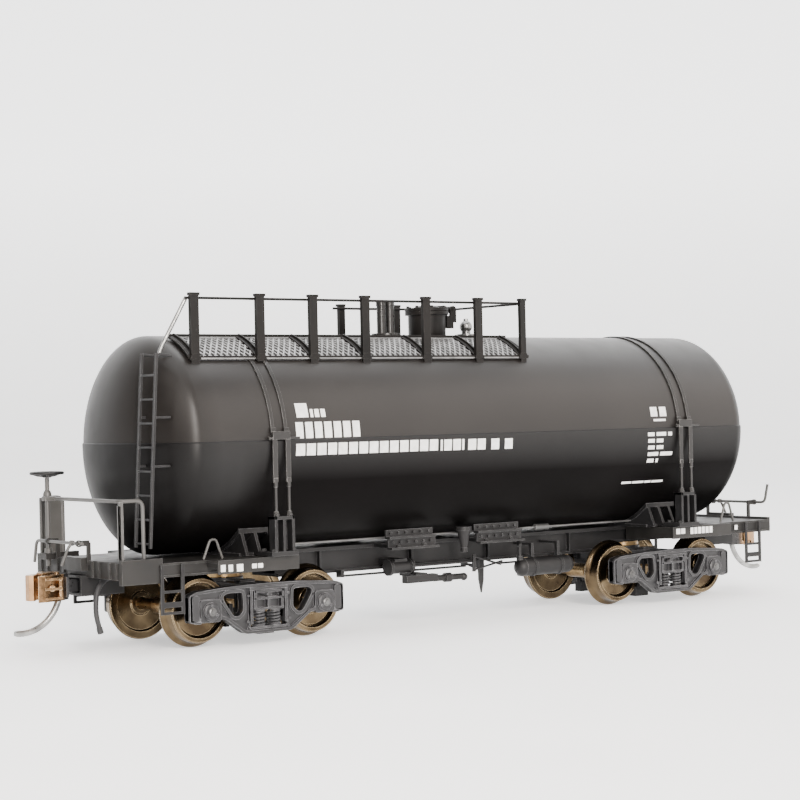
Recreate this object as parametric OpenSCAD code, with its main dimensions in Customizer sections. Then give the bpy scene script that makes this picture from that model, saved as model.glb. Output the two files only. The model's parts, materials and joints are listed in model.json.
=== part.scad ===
// Four-axle tank wagon in 1:87 scale: tank on saddles, underframe, two swivelling bogies, knuckle couplers.
// X runs along the wagon (the handbrake end is -X), Y across it, Z up from the bottom of the wheel flanges.

/* [Tank] */
// Outside radius of the tank shell
tank_r = 16.3; // [16.2:0.1:16.4]
// Length of the tank between the seams of its dished ends
tank_straight = 108.4; // [107:0.2:109]
// Depth of each dished end
dish_depth = 6.4; // [6:0.1:6.8]
// Height of the tank's centre line
tank_z = 29.9; // [29.8:0.1:30.1]
// Wall of the tank shell
tank_wall = 0.9; // [0.7:0.1:1.2]
// Thickness of the heating jacket round the lower half
jacket_t = 0.35; // [0.25:0.05:0.4]

/* [Running gear] */
// Distance from the wagon's centre to each bogie pivot
pivot_x = 41.6; // [41.4:0.1:41.8]
// Half of the wheelbase of a bogie
half_base = 10.05; // [10:0.05:10.1]
// Radius of the wheel flange
flange_r = 5.55; // [5.5:0.05:5.6]
// Radius of the wheel tread at the front of the rim
tread_r = 4.8; // [4.7:0.05:4.85]
// Distance between the backs of the two wheels of an axle
back_to_back = 14.4; // [14.3:0.1:14.5]

/* [Underframe] */
// Distance from the wagon's centre to the face of each headstock
half_frame = 66.2; // [66:0.1:66.4]
// Height of the top of the deck
deck_z = 13.1; // [13.1:0.05:13.2]
// Half of the width over the headstocks
half_width = 12.8; // [12.7:0.1:12.9]
// Half of the width over the body bolsters
bolster_half = 16.5; // [16.3:0.1:16.6]
// Distance from the wagon's centre to the middle of each strap and saddle station
strap_x = 41.4; // [41.2:0.1:41.6]

/* [Walkway] */
// Height of the top of the handrail posts
post_top = 52.1; // [51.5:0.1:52.4]
// Distance of the handrail posts from the centre line
post_y = 11; // [10.9:0.05:11.1]

/* [Couplers] */
// Height of the coupler's centre line
coupler_z = 9.8; // [9.75:0.05:9.85]
// Distance from the wagon's centre to each coupler pivot
coupler_pivot = 62.2; // [62.1:0.1:62.3]

/* [Hidden] */
$fn = 48;
axle_z = flange_r;
seam_x = tank_straight / 2;
jacket_r = tank_r + 0.02;
jacket_out = jacket_r + jacket_t;
wheel_back = back_to_back / 2;
wheel_w = 2.75;
axle_r = 1;
journal_r = 0.6;
journal_end = 12.2;
running = 0.06;
wire = 0.25;
rail_wire = 0.2;
crown = tank_z + tank_r;
foot_r = tank_r + 0.3;
post_xs = [-52.3, -40.9, -31.3, -21.5, -9.6, 1, 10.3];
far_post_xs = [-10.5, 1, 10.3];
walk_lo = -53.3;
walk_far_lo = -12.4;
walk_hi = 11.6;
ladder_x = 60.8;
ladder_lean = 3.4;
neck_x = -0.95;
neck_r = 3.1;
lid_r = neck_r + 0.5;
flange_top = 50.4;
lid_hinge = [3.55, 0, 50.75];
lever_x = half_frame + 1.5;
lever_z = 16;
brake_x = -half_frame - 0.7;
brake_y = 8;
knuckle_pin = [71.3, -1.75];

// ---- helpers -------------------------------------------------------------------------------

// A box between two opposite corners
module block(lo, hi) {
    translate(lo) cube(hi - lo);
}

// A round bar from point a to point b
module bar(a, b, r) {
    v = b - a;
    l = norm(v);
    translate(a) rotate([0, acos(v[2] / l), atan2(v[1], v[0])]) cylinder(h = l, r = r, $fn = 24);
}

// A bent wire through a list of points, with a small ball at each bend
module bent_wire(points, r) {
    for (i = [0 : len(points) - 2]) bar(points[i], points[i + 1], r);
    for (i = [1 : 1 : len(points) - 2]) translate(points[i]) sphere(r = r * 1.12, $fn = 24);
}

// A cylinder along X or Y, starting at a point
module along_x(p, l, r) {
    translate(p) rotate([0, 90, 0]) cylinder(h = l, r = r);
}
module along_y(p, l, r) {
    translate(p) rotate([-90, 0, 0]) cylinder(h = l, r = r);
}

// The same thing on both sides, or at both ends turned half way round
module both_sides() {
    children();
    mirror([0, 1, 0]) children();
}
module both_ends() {
    children();
    rotate([0, 0, 180]) children();
}

// ---- tank ----------------------------------------------------------------------------------

module tank_barrel() {
    color("#141414")
    difference() {
        along_x([-seam_x, 0, tank_z], tank_straight, tank_r);
        along_x([-seam_x - 1, 0, tank_z], tank_straight + 2, tank_r - tank_wall);
    }
}

// Quarter of an ellipse from the axis to the rim, as points [radius, depth]
function quarter(r, d, n) = [for (i = [0 : n]) [r * sin(90 * i / n), d * cos(90 * i / n)]];

module dished_end() {
    lip = tank_r - tank_wall - 0.04;
    outer = quarter(tank_r, dish_depth, 14);
    inner = quarter(lip - 0.7, dish_depth - tank_wall, 14);
    inner_back = [for (i = [len(inner) - 1 : -1 : 0]) inner[i]];
    rotate([0, 90, 0]) rotate_extrude($fn = 96)
    polygon(concat(outer, [[lip, 0], [lip, -2], [lip - 0.7, -2]], inner_back));
}

module tank_ends() {
    color("#161616") both_ends() translate([seam_x, 0, tank_z]) dished_end();
}

// Profile of the jacket along the tank: dished outline with the given radius and depth
function capsule(r, d, n) = concat(
    [for (i = [0 : n]) [r * sin(90 * i / n), -seam_x - d * cos(90 * i / n)]],
    [for (i = [0 : n]) [r * cos(90 * i / n), seam_x + d * sin(90 * i / n)]]
);

module heating_jacket() {
    gap = jacket_r - tank_r;
    color("#0e0e0e")
    difference() {
        translate([0, 0, tank_z]) rotate([0, 90, 0]) rotate_extrude($fn = 96)
        difference() {
            polygon(capsule(jacket_out, dish_depth + gap + jacket_t, 14));
            polygon(capsule(jacket_r, dish_depth + gap, 14));
        }
        block([-80, -20, tank_z + 0.4], [80, 20, tank_z + 20]);
    }
}

module ballast_weight() {
    color("#8a8a8a")
    intersection() {
        along_x([-34, 0, tank_z], 68, tank_r - tank_wall - 0.05);
        block([-35, -16, tank_z - 16], [35, 16, tank_z - 7.5]);
    }
}

// ---- tank fastening ------------------------------------------------------------------------

band_off = 1.15;
strap_pin_z = tank_z + 1;

module strap_bands() {
    color("#1c1c1c")
    for (end = [-1, 1]) for (off = [-band_off, band_off])
    difference() {
        along_x([end * strap_x + off - 0.3, 0, tank_z], 0.6, tank_r + 0.27);
        along_x([end * strap_x + off - 1, 0, tank_z], 2, tank_r + 0.02);
        block([-80, -20, 0], [80, 20, strap_pin_z + 0.75]);
    }
}

module strap_tie_rods() {
    clamp_y = tank_r + 0.05;
    color("#202020")
    both_sides() for (end = [-1, 1]) translate([end * strap_x, 0, 0]) {
        block([-1.5, clamp_y, strap_pin_z - 0.55], [1.5, clamp_y + 0.75, strap_pin_z + 0.7]);
        along_x([-1.7, clamp_y + 0.45, strap_pin_z - 0.35], 5, 0.18);
        for (off = [-band_off, band_off]) {
            block([off - 0.42, jacket_out + 0.05, 24], [off + 0.42, jacket_out + 0.4, strap_pin_z - 0.5]);
            translate([off, jacket_out + 0.22, 18.4]) cylinder(h = 5.8, r = 0.27, $fn = 24);
            translate([off, jacket_out + 0.22, 19.2]) cylinder(h = 0.45, r = 0.5, $fn = 6);
        }
    }
}

module strap_brackets() {
    top = 19.1;
    color("#242424")
    both_sides() for (end = [-1, 1]) translate([end * strap_x, 0, 0])
    difference() {
        union() {
            block([-1.75, 15.4, 13.95], [1.75, 17.45, top]);
            block([-2.3, 13.4, 13.25], [2.3, 17.45, 13.95]);
            for (off = [-1.7, 1.7]) translate([off, 14.3, 13.9]) cylinder(h = 0.5, r = 0.4, $fn = 6);
        }
        block([-1.2, 15, 14.5], [1.2, 17, top - 0.6]);
        for (off = [-band_off, band_off])
            translate([off, jacket_out + 0.22, 17]) cylinder(h = 3, r = 0.33, $fn = 24);
    }
}

saddle_half = 4;

module saddles() {
    color("#222222")
    for (end = [-1, 1]) translate([end * strap_x, 0, 0])
    difference() {
        union() {
            block([-saddle_half, -11, deck_z + 0.02], [saddle_half, 11, 13.55]);
            for (off = [-3.5, -1.2, 1.2, 3.5]) translate([off - 0.25, 0, 0]) rotate([90, 0, 90])
            linear_extrude(0.5)
            polygon([[-12.6, 13.3], [12.6, 13.3], [10.6, 17.6], [-10.6, 17.6]]);
            intersection() {
                along_x([-saddle_half, 0, tank_z], 2 * saddle_half, jacket_out + 0.6);
                block([-5, -10.9, 13.2], [5, 10.9, 17.9]);
            }
            for (side = [-1, 1])
                block([-saddle_half, side * 10.75 - 0.3, 16.5], [saddle_half, side * 10.75 + 0.3, 17.2]);
        }
        along_x([-6, 0, tank_z], 12, jacket_out + 0.03);
    }
}

// ---- underframe ----------------------------------------------------------------------------

module centre_sill() {
    sill_end = 60;
    deep_end = 33.8;
    color("#1a1a1a") {
        block([-sill_end, -4.4, 12.5], [sill_end, 4.4, deck_z]);
        both_sides() {
            block([-sill_end, 2.6, 10.2], [sill_end, 3.2, 12.7]);
            block([-deep_end, 2.6, 9.1], [deep_end, 3.2, 10.4]);
        }
        block([-deep_end, -3.8, 8.9], [deep_end, 3.8, 9.4]);
        for (end = [-1, 1]) block([end * 46.8 - 13.2, -3.6, 10.2], [end * 46.8 + 13.2, 3.6, 10.6]);
        for (x = [-26, -8, 8, 26]) both_sides() block([x - 0.2, 2.9, 9.2], [x + 0.2, 4, 12.8]);
    }
}

module lever_bracket(y) {
    difference() {
        union() {
            block([half_frame - 0.3, y - 0.2, 12.9], [half_frame + 0.25, y + 0.2, lever_z + 0.1]);
            block([half_frame - 0.1, y - 0.2, lever_z - 0.4], [lever_x, y + 0.2, lever_z + 0.4]);
            along_y([lever_x, y - 0.2, lever_z], 0.4, 0.5);
        }
        along_y([lever_x, y - 1, lever_z], 2, wire + running);
    }
}

// Deck, headstock and side sills of the +X end; the other end is the same turned round
module platform() {
    inner = strap_x + 3.25;
    block([inner, 4.45, deck_z - 0.5], [half_frame - 0.3, half_width - 0.3, deck_z]);
    block([inner, -half_width + 0.3, deck_z - 0.5], [half_frame - 0.3, -4.45, deck_z]);
    block([60.05, -5, deck_z - 0.5], [half_frame - 0.3, 5, deck_z]);
    difference() {
        block([half_frame - 0.7, -half_width, 11], [half_frame, half_width, deck_z + 0.4]);
        block([half_frame - 2, -2.6, 10], [half_frame + 2, 2.6, 11.35]);
    }
    both_sides() {
        block([inner, half_width - 0.5, 11.05], [half_frame - 0.3, half_width, deck_z]);
        block([inner, half_width - 1.2, deck_z - 0.4], [half_frame - 0.3, half_width - 0.2, deck_z]);
        block([inner, half_width - 0.3, 11.05], [half_frame - 0.3, half_width + 0.25, 11.35]);
        block([inner, half_width - 0.3, deck_z - 0.3], [half_frame - 0.3, half_width + 0.25, deck_z]);
    }
    both_sides() for (y = [4.4, 6.4, 9.6, 11.6])
        block([half_frame - 0.2, y - 0.25, 11.1], [half_frame + 0.25, y + 0.25, deck_z + 0.3]);
    block([half_frame - 0.2, -2.9, 12], [half_frame + 1.1, 2.9, 13.9]);
}

module end_platforms() {
    color("#262626") {
        both_ends() platform();
        for (y = [-7.6, 2.6]) lever_bracket(y);
        rotate([0, 0, 180]) for (y = [-6.4, 3.2]) lever_bracket(y);
        both_sides() translate([-half_frame, half_width - 0.6, 0])
            block([0, 0, 10.3], [6.6, 0.88, deck_z + 0.75]);
        translate([brake_x, brake_y, 0]) difference() {
            block([-0.9, -0.9, deck_z + 0.1], [1, 0.9, deck_z + 1]);
            translate([0, 0, 10]) cylinder(h = 8, r = 0.35 + running);
        }
    }
}

// Bolsters over the bogies, with the deep side plates that run out along the deck from them
module body_bolsters() {
    plate_end = 52.4;
    color("#303030")
    for (end = [-1, 1]) scale([end, 1, 1]) translate([strap_x, 0, 0]) {
        both_sides() {
            block([-3, bolster_half - 0.4, 11.2], [plate_end - strap_x, bolster_half, 13.22]);
            block([0, half_width + 0.3, 12.75], [plate_end - strap_x, bolster_half - 0.1, 13.1]);
            for (x = [6, 10.4]) block([x, half_width + 0.3, 12], [x + 0.4, bolster_half - 0.1, 12.9]);
            translate([-2.75, 0, 0]) rotate([90, 0, 90]) linear_extrude(5.5)
            polygon([[4.45, 13.05], [4.45, 10.6], [9, 10.9], [bolster_half, 11.3],
                [bolster_half, 13.2], [13, 13.2], [13, 13.05]]);
        }
    }
}

// The screws that hold the bogies: head under the bogie bolster, shank through it and up into the sill
module kingpins() {
    color("#b09a60")
    for (end = [-1, 1]) translate([end * pivot_x, 0, 0]) {
        translate([0, 0, 5.7]) cylinder(h = 0.7, r = 1.9);
        translate([0, 0, 6]) cylinder(h = 4.15, r = 1);
        translate([0, 0, 9.42]) cylinder(h = 0.76, r = 3);
    }
}

// Cross bearers beside the outlets, each with two ledges along the wagon
module side_bearers() {
    color("#1d1d1d")
    both_sides() for (x = [-13, 4.8]) translate([x, 0, 0]) {
        for (off = [-2.6, 2.6]) block([off - 0.3, 4.42, 12.5], [off + 0.3, 10.6, deck_z]);
        block([-4.6, 9.6, 14.1], [4.6, 11, 14.45]);
        block([-4.6, 9.6, 14.1], [4.6, 9.95, 15.5]);
        block([-4.4, 9.9, 12.4], [4.9, 11.3, 12.75]);
        block([-4.4, 9.9, 12.4], [4.9, 10.25, 14.2]);
        for (i = [0 : 5]) along_y([-3.8 + 1.5 * i, 9.9, 15], 0.35, 0.22);
        for (i = [0 : 5]) along_y([-3.6 + 1.5 * i, 10.2, 13.5], 0.35, 0.22);
    }
}

module outlet_pipes() {
    outlet = [-1.4, 9.15];
    pipe = [9.9, 8];
    color("#1b1b1b") both_sides() {
        translate([outlet[0], outlet[1], 0]) {
            translate([0, 0, 14.6]) cylinder(h = 0.6, r = 1.3);
            translate([0, 0, 11.6]) cylinder(h = 3.1, r1 = 0.45, r2 = 1.15, $fn = 32);
            translate([0, 0, 11.1]) cylinder(h = 0.7, r = 0.6);
        }
        translate([pipe[0], pipe[1], 0]) {
            bar([0, 0, 14.6], [0, 1.6, 11.6], 0.35);
            translate([0, 1.6, 9.5]) cylinder(h = 2.1, r = 0.3);
            translate([0, 1.6, 11.6]) sphere(r = 0.45, $fn = 32);
            translate([0, 1.6, 9.1]) cylinder(h = 0.7, r = 0.55);
        }
    }
}

// ---- brake equipment -----------------------------------------------------------------------

cylinder_y = -7;
reservoir_y = -7.6;

module brake_cylinder() {
    color("#1a1a1a") {
        along_x([-15, cylinder_y, 9.3], 4, 1.05);
        along_x([-15.3, cylinder_y, 9.3], 0.5, 1.3);
        along_x([-11.2, cylinder_y, 9.3], 0.5, 1.3);
        along_x([-10.8, cylinder_y, 9.3], 12.6, 0.22);
        block([-14.2, -7.6, 9.8], [-11.8, -3.22, 10.6]);
    }
}

module brake_rods() {
    color("#1f1f1f") {
        bar([2.2, -6.6, 8.4], [2.2, -4.2, 9], 0.2);
        block([1.8, -7.5, 7.6], [2.3, -7.1, 10.4]);
        block([2, -7.3, 8.5], [2.4, -3.82, 8.85]);
        bar([2.1, -7.3, 7.9], [9.4, -5.6, 8.8], 0.17);
        bar([2.1, -7.3, 10.1], [9.6, -5, 8.2], 0.17);
        translate([5.25, -4.9, 0]) rotate([90, 0, 0]) linear_extrude(0.4)
            polygon([[-0.55, 9.3], [0.55, 9.3], [0.45, 6], [0, 3.8], [-0.45, 6]]);
        block([4.7, -5.35, 7.9], [5.8, -3.82, 9.3]);
        along_x([9.2, -4.9, 8.4], 14.4, 0.18);
        block([22.4, -5.2, 8.2], [23, -3.82, 9.3]);
        along_x([-23.6, -4.9, 8.4], 25.8, 0.18);
        block([-23, -5.2, 8.2], [-22.4, -3.82, 9.3]);
    }
}

module control_valve() {
    color("#191919") {
        block([-12.6, -8.6, 6.7], [-6.4, -7.2, 7.9]);
        block([-10.6, -8.4, 7.6], [-8.4, -3.82, 8.15]);
        block([-9.9, -4.3, 7.6], [-9.1, -3.82, 9.3]);
        along_x([-6.8, -7.9, 7.1], 5.8, 0.5);
        along_x([-4.6, -7.9, 7.1], 1.2, 0.75);
        translate([-0.6, -7.9, 7]) sphere(r = 0.62, $fn = 24);
    }
}

module air_reservoir() {
    r = 1.5;
    z = 7.7;
    color("#1c1c1c") {
        along_x([12.2, reservoir_y, z], 9.4, r);
        for (x = [12.2, 21.6]) intersection() {
            translate([x, reservoir_y, z]) scale([0.8, 0.8, 0.8]) sphere(r = r * 1.25 - 0.01, $fn = 48);
            block([x - 2, reservoir_y - 2, z - 2], [x + 2, reservoir_y + 2, z + 2]);
        }
        for (x = [13.9, 19.6]) {
            along_x([x, reservoir_y, z], 0.5, r + 0.15);
            block([x, reservoir_y - 0.3, z + 1.3], [x + 0.5, reservoir_y + 0.4, 11.6]);
            block([x, reservoir_y - 0.3, 11.2], [x + 0.5, -3.22, 11.6]);
        }
    }
}

module train_pipe() {
    color("#c8c8c8") {
        along_x([-37.2, -7.2, 14.15], 52.6, 0.18);
        along_x([18, -7.2, 14.15], 19.2, 0.18);
        along_x([15.2, -7.2, 14.15], 3, 0.5);
    }
}

// Flat bar bent to a pointed hoop, standing on the edge of the deck
module grab_hoop(x, high) {
    outer = [[-1.7, 0], [-0.5, high], [0.6, high], [1.7, 0]];
    inner = [[1.25, 0], [0.35, high - 0.45], [-0.25, high - 0.45], [-1.25, 0]];
    translate([x, half_width - 0.2, deck_z + 0.02])
        rotate([90, 0, 0]) linear_extrude(0.4) polygon(concat(outer, inner));
}

module grab_hoops() {
    color("#3a3a3a") both_sides() {
        grab_hoop(-50.8, 3.1);
        grab_hoop(55.6, 3.55);
    }
}

module stirrup(x) {
    y = half_width + 0.3;
    for (side = [-1.7, 1.7]) block([x + side - 0.25, y, 5.7], [x + side + 0.25, y + 0.35, 12.9]);
    for (z = [5.7, 8.8]) block([x - 1.7, y, z], [x + 1.7, y + 0.35, z + 0.4]);
    block([x - 1.7, y, 6.7], [x + 1.7, y + 0.35, 7.5]);
}

module stirrup_steps() {
    color("#1d1d1d") both_sides() {
        stirrup(61.2);
        stirrup(-58.2);
    }
}

// ---- ends ----------------------------------------------------------------------------------

rail_top = 22.2;

module end_railing() {
    x = -half_frame + 0.4;
    y = half_width - 0.55;
    low = deck_z + 0.77;
    color("#2a2a2a") {
        bent_wire([[x, y, low], [x, y, rail_top], [x, -y, rail_top], [x, -y, low]], 0.3);
        for (side = [-1, 1]) {
            bar([x, side * y, rail_top], [x + 3.6, side * y, rail_top], 0.3);
            bar([x + 3.6, side * y, rail_top], [x + 3.6, side * y, deck_z + 0.8], 0.3);
            translate([x + 3.6, side * y, rail_top]) sphere(r = 0.34, $fn = 24);
        }
        block([x - 0.45, -y - 0.5, low], [x + 0.4, -y + 0.2, rail_top]);
        difference() {
            block([brake_x - 0.75, brake_y - 0.6, rail_top - 0.3],
                [x + 0.2, brake_y + 0.6, rail_top + 0.3]);
            translate([brake_x, brake_y, 10]) cylinder(h = 20, r = 0.35 + running);
        }
    }
}

module end_ladder() {
    y_lo = -13.2;
    y_hi = -9;
    bottom = 15.3 - 29.4;
    top = 43.2 - 29.4;
    rung = 0.17;
    color("#202020") {
        translate([-ladder_x, 0, 29.4]) rotate([0, ladder_lean, 0]) {
            for (y = [y_lo, y_hi]) {
                block([-0.22, y - 0.25, bottom], [0.22, y + 0.25, top]);
                block([-0.1, y - 0.21, top - 0.45], [2.6, y + 0.21, top - 0.05]);
            }
            for (i = [0 : 7]) along_y([0, y_lo, bottom + 0.6 + 3.45 * i], y_hi - y_lo, rung);
            along_y([2.35, y_lo, top - 0.25], y_hi - y_lo, rung);
        }
        for (z = [27, 34]) for (y = [y_lo, y_hi]) ladder_foot(y, z);
    }
}

// Stand-off between a ladder stile and the dished end
module ladder_foot(y, z) {
    stile = -ladder_x + (z - 29.4) * tan(ladder_lean);
    across = norm([y, z - tank_z]) / jacket_out;
    skin = -seam_x - (dish_depth + jacket_t) * sqrt(1 - across * across);
    bar([stile, y, z], [skin - 0.1, y, z], 0.19);
}

// ---- walkway -------------------------------------------------------------------------------

// Part of a ring round the tank on the near shoulder, between two distances from the centre line
module shoulder(x0, x1, r0, r1, y0, y1) {
    difference() {
        intersection() {
            along_x([x0, 0, tank_z], x1 - x0, r1);
            block([x0 - 1, -y1, tank_z + 4], [x1 + 1, -y0, tank_z + 20]);
        }
        along_x([x0 - 1, 0, tank_z], x1 - x0 + 2, r0);
    }
}

module walkway_side(lo, posts) {
    edge = tank_z + sqrt(pow(foot_r + 0.3, 2) - pow(post_y - 0.85, 2));
    ridge = tank_z + sqrt(pow(foot_r, 2) - pow(4.8, 2));
    block([lo, -post_y + 0.4, edge], [walk_hi, -post_y + 0.9, edge + 0.45]);
    block([lo, -5.2, ridge], [walk_hi, -4.8, ridge + 0.5]);
    for (x = posts) {
        shoulder(x - 0.9, x + 0.9, foot_r, foot_r + 0.33, 4.6, post_y - 0.37);
        shoulder(x - 0.8, x - 0.4, tank_r + 0.02, foot_r + 0.1, 5.4, 5.9);
        shoulder(x - 0.8, x - 0.4, tank_r + 0.02, foot_r + 0.1, 9.6, 10.1);
    }
}

module walkway_frame() {
    color("#181818") {
        walkway_side(walk_lo, post_xs);
        mirror([0, 1, 0]) walkway_side(walk_far_lo, far_post_xs);
    }
}

module walkway_mesh() {
    r = foot_r + 0.36;
    color("#4a4a4a") {
        shoulder(walk_lo + 0.4, walk_hi - 0.8, r, r + 0.2, 5.25, post_y - 0.95);
        mirror([0, 1, 0]) shoulder(walk_far_lo + 0.4, walk_hi - 0.8, r, r + 0.2, 5.25, post_y - 0.95);
    }
}

module walkway_post(x, w) {
    block([x - w / 2, -post_y - 0.35, tank_z + 11], [x + w / 2, -post_y + 0.35, post_top - 0.35]);
    block([x - w / 2 - 0.15, -post_y - 0.5, post_top - 0.4], [x + w / 2 + 0.1, -post_y + 0.4, post_top]);
}

module walkway_posts() {
    color("#1a1a1a")
    difference() {
        union() {
            for (x = post_xs) walkway_post(x, x == post_xs[len(post_xs) - 1] ? 1.1 : 1.4);
            mirror([0, 1, 0]) for (x = far_post_xs) walkway_post(x, 1.2);
        }
        along_x([-seam_x - 1, 0, tank_z], tank_straight, tank_r + 0.02);
        along_x([-strap_x - 1.6, 0, tank_z], 3.2, foot_r - 0.01);
    }
}

module handrails() {
    y = post_y - 0.35 - rail_wire - 0.02;
    z = post_top - 0.75;
    color("#222222") {
        along_x([post_xs[0] - 1.1, -y, z], walk_hi - post_xs[0] + 1.1, rail_wire);
        along_x([walk_far_lo - 0.1, y, z], walk_hi - walk_far_lo + 0.1, rail_wire);
        bar([walk_hi, -y - rail_wire, z], [walk_hi, y + rail_wire, z], rail_wire * 1.1);
    }
}

// Bright rod from the shoulder of the tank end up to the first post
module grab_rod() {
    color("#d8d8d8")
    bar([-57, -8.6, 43.1], [post_xs[0] - 0.35, -post_y + 1.15, post_top - 0.5], 0.32);
}

// ---- top fittings --------------------------------------------------------------------------

module manway_neck() {
    color("#151515")
    difference() {
        union() {
            translate([neck_x, 0, crown - 0.85]) cylinder(h = flange_top - crown + 0.85, r = neck_r);
            translate([neck_x, 0, flange_top - 0.6]) cylinder(h = 0.6, r = lid_r);
        }
        along_x([-10, 0, tank_z], 20, tank_r + 0.02);
        translate([neck_x, 0, crown + 0.5]) cylinder(h = 10, r = neck_r - 0.8);
    }
}

module manway_hinge() {
    color("#1a1a1a") {
        for (side = [-1, 1]) translate([0, side * 1.2 - 0.25, 0]) difference() {
            union() {
                block([neck_x + neck_r - 0.5, 0, 47.6], [lid_hinge[0], 0.5, 49.7]);
                block([lid_hinge[0] - 0.55, 0, 48.6], [lid_hinge[0] + 0.6, 0.5, lid_hinge[2]]);
                along_y([lid_hinge[0], 0, lid_hinge[2]], 0.5, 0.6);
            }
            along_y([lid_hinge[0], -1, lid_hinge[2]], 3, 0.26);
            translate([neck_x, 0, 40]) cylinder(h = 20, r = neck_r + 0.02);
            translate([neck_x, 0, flange_top - 0.65]) cylinder(h = 5, r = lid_r + 0.02);
        }
        along_y([lid_hinge[0], -1.6, lid_hinge[2]], 3.2, 0.25);
    }
}

module manway_lid() {
    low = flange_top + 0.05;
    color("#171717")
    difference() {
        union() {
            translate([neck_x, 0, low]) cylinder(h = 0.5, r = lid_r);
            translate([neck_x, 0, low + 0.4]) cylinder(h = 0.45, r1 = neck_r - 0.6, r2 = neck_r - 1.4);
            for (i = [0 : 7]) translate([neck_x, 0, low]) rotate([0, 0, 45 * i + 22.5])
                translate([neck_r + 0.12, 0, 0.4]) cylinder(h = 0.45, r = 0.26, $fn = 6);
            block([neck_x + neck_r, -0.7, low], [lid_hinge[0], 0.7, low + 0.5]);
            along_y([lid_hinge[0], -0.85, lid_hinge[2]], 1.7, 0.55);
        }
        along_y([lid_hinge[0], -2, lid_hinge[2]], 4, 0.25 + running);
    }
}

module top_fittings() {
    color("#161616") {
        for (x = [-10.3, -8.6]) {
            translate([x, 0, crown + 0.1]) cylinder(h = 5.4, r = 0.72);
            translate([x, 0, crown + 5]) cylinder(h = 0.8, r = 0.82);
        }
        translate([-9.45, 0, crown + 0.01]) cylinder(h = 0.55, r = 2.3);
    }
    color("#3a3a3a") translate([7.3, 0, 0]) {
        translate([0, 0, crown + 0.02]) cylinder(h = 0.5, r = 1.65);
        translate([0, 0, crown + 0.3]) cylinder(h = 1, r = 0.75);
        translate([0, 0, crown + 1.75]) sphere(r = 1.05, $fn = 32);
        translate([0, 0, crown + 2.5]) cylinder(h = 0.6, r = 0.4);
    }
}

// ---- couplers ------------------------------------------------------------------------------

module draft_box() {
    difference() {
        block([60.05, -2.55, 8.3], [67.2, 2.55, 11.3]);
        block([60.5, -2.1, 8.75], [68, 2.1, 10.85]);
    }
    translate([coupler_pivot, 0, 8.5]) cylinder(h = 2.6, r = 0.7);
    translate([coupler_pivot, 0, 7.9]) cylinder(h = 0.45, r = 1.1);
}

module draft_boxes() {
    color("#1c1c1c") both_ends() draft_box();
}

// A stiff moulded hose with its angle cock, at the +X end
module brake_hose() {
    hose = 0.36;
    color("#202020") {
        bent_wire([[64.3, 4.7, 10.9], [66.3, 5.6, 9.3], [66.9, 6.1, 6.2], [66, 6, 3.1]], hose);
        bar([62.6, 4, 11.25], [64.7, 4.85, 10.75], 0.55);
        block([62.2, 3.3, 10.9], [63.2, 4.6, 12.58]);
    }
}

module brake_hoses() {
    both_ends() brake_hose();
}

module coupler_body() {
    top = coupler_z + 1.9;
    low = coupler_z - 1.9;
    color("#1a1a1a")
    difference() {
        union() {
            translate([coupler_pivot, 0, 8.9]) cylinder(h = 1.8, r = 1.45);
            block([coupler_pivot, -0.8, 8.9], [68.8, 0.8, 10.7]);
            translate([0, 0, low]) linear_extrude(top - low)
            polygon([[68.4, -1], [70.2, -2.5], [71.2, -2.5], [71.2, 2.2], [73.8, 2.6], [74.3, 3.1],
                [73.2, 3.2], [70.6, 2.6], [68.4, 1]]);
            for (z = [low, top - 0.55])
                translate([knuckle_pin[0], knuckle_pin[1], z]) cylinder(h = 0.55, r = 0.85);
        }
        translate([coupler_pivot, 0, 8]) cylinder(h = 4, r = 0.7 + running);
        translate([0, 0, low + 0.6]) linear_extrude(top - low - 1.2)
            polygon([[70, -3], [72.5, -3], [72.5, 1.2], [70.4, 1.2], [70, 0.4]]);
        translate([knuckle_pin[0], knuckle_pin[1], 0]) cylinder(h = 20, r = 0.36);
    }
    color("#1a1a1a") translate([knuckle_pin[0], knuckle_pin[1], low - 0.15])
        cylinder(h = top - low + 0.3, r = 0.35);
}

module coupler_brake_end() {
    rotate([0, 0, 180]) coupler_body();
}
module coupler_plain_end() {
    coupler_body();
}

module knuckle() {
    color("#c8a060")
    difference() {
        union() {
            translate([0, 0, coupler_z - 1.25]) linear_extrude(2.5)
            polygon([[70.7, -2.1], [71.6, -2.55], [72.6, -2.4], [72.6, -0.2], [71.6, 0.6], [70.9, 0.2],
                [70.7, -1]]);
            translate([0, 0, coupler_z - 1.85]) linear_extrude(3.7)
            polygon([[72.25, -2.4], [73.6, -1.9], [74.3, -0.9], [74.3, 0.2], [73.7, 0.55], [73.2, 0.2],
                [73.1, -0.7], [72.25, -0.8]]);
        }
        translate([knuckle_pin[0], knuckle_pin[1], 0]) cylinder(h = 20, r = 0.35 + running);
    }
}

module knuckle_brake_end() {
    rotate([0, 0, 180]) knuckle();
}
module knuckle_plain_end() {
    knuckle();
}

// Curved wire under the coupler head
module trip_pin() {
    bend = [75.5, 9.6];
    r = 6.2;
    color("#d0d0d0")
    bent_wire([for (a = [196.6 : 12 : 281]) [bend[0] + r * cos(a), 0, bend[1] + r * sin(a)]], 0.42);
}

module trip_pin_brake_end() {
    rotate([0, 0, 180]) trip_pin();
}
module trip_pin_plain_end() {
    trip_pin();
}

// Lever along the headstock: hook over the coupler at one end, handle at the corner, turned up or down
module uncoupling_lever(handle) {
    color("#303030") {
        bent_wire([[lever_x, 4.2, lever_z], [lever_x, -10, lever_z],
            [lever_x, -11, lever_z + handle]], wire);
        bar([lever_x, 1, lever_z], [lever_x + 1.5, 0.5, 12.7], wire * 0.9);
    }
}

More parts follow.
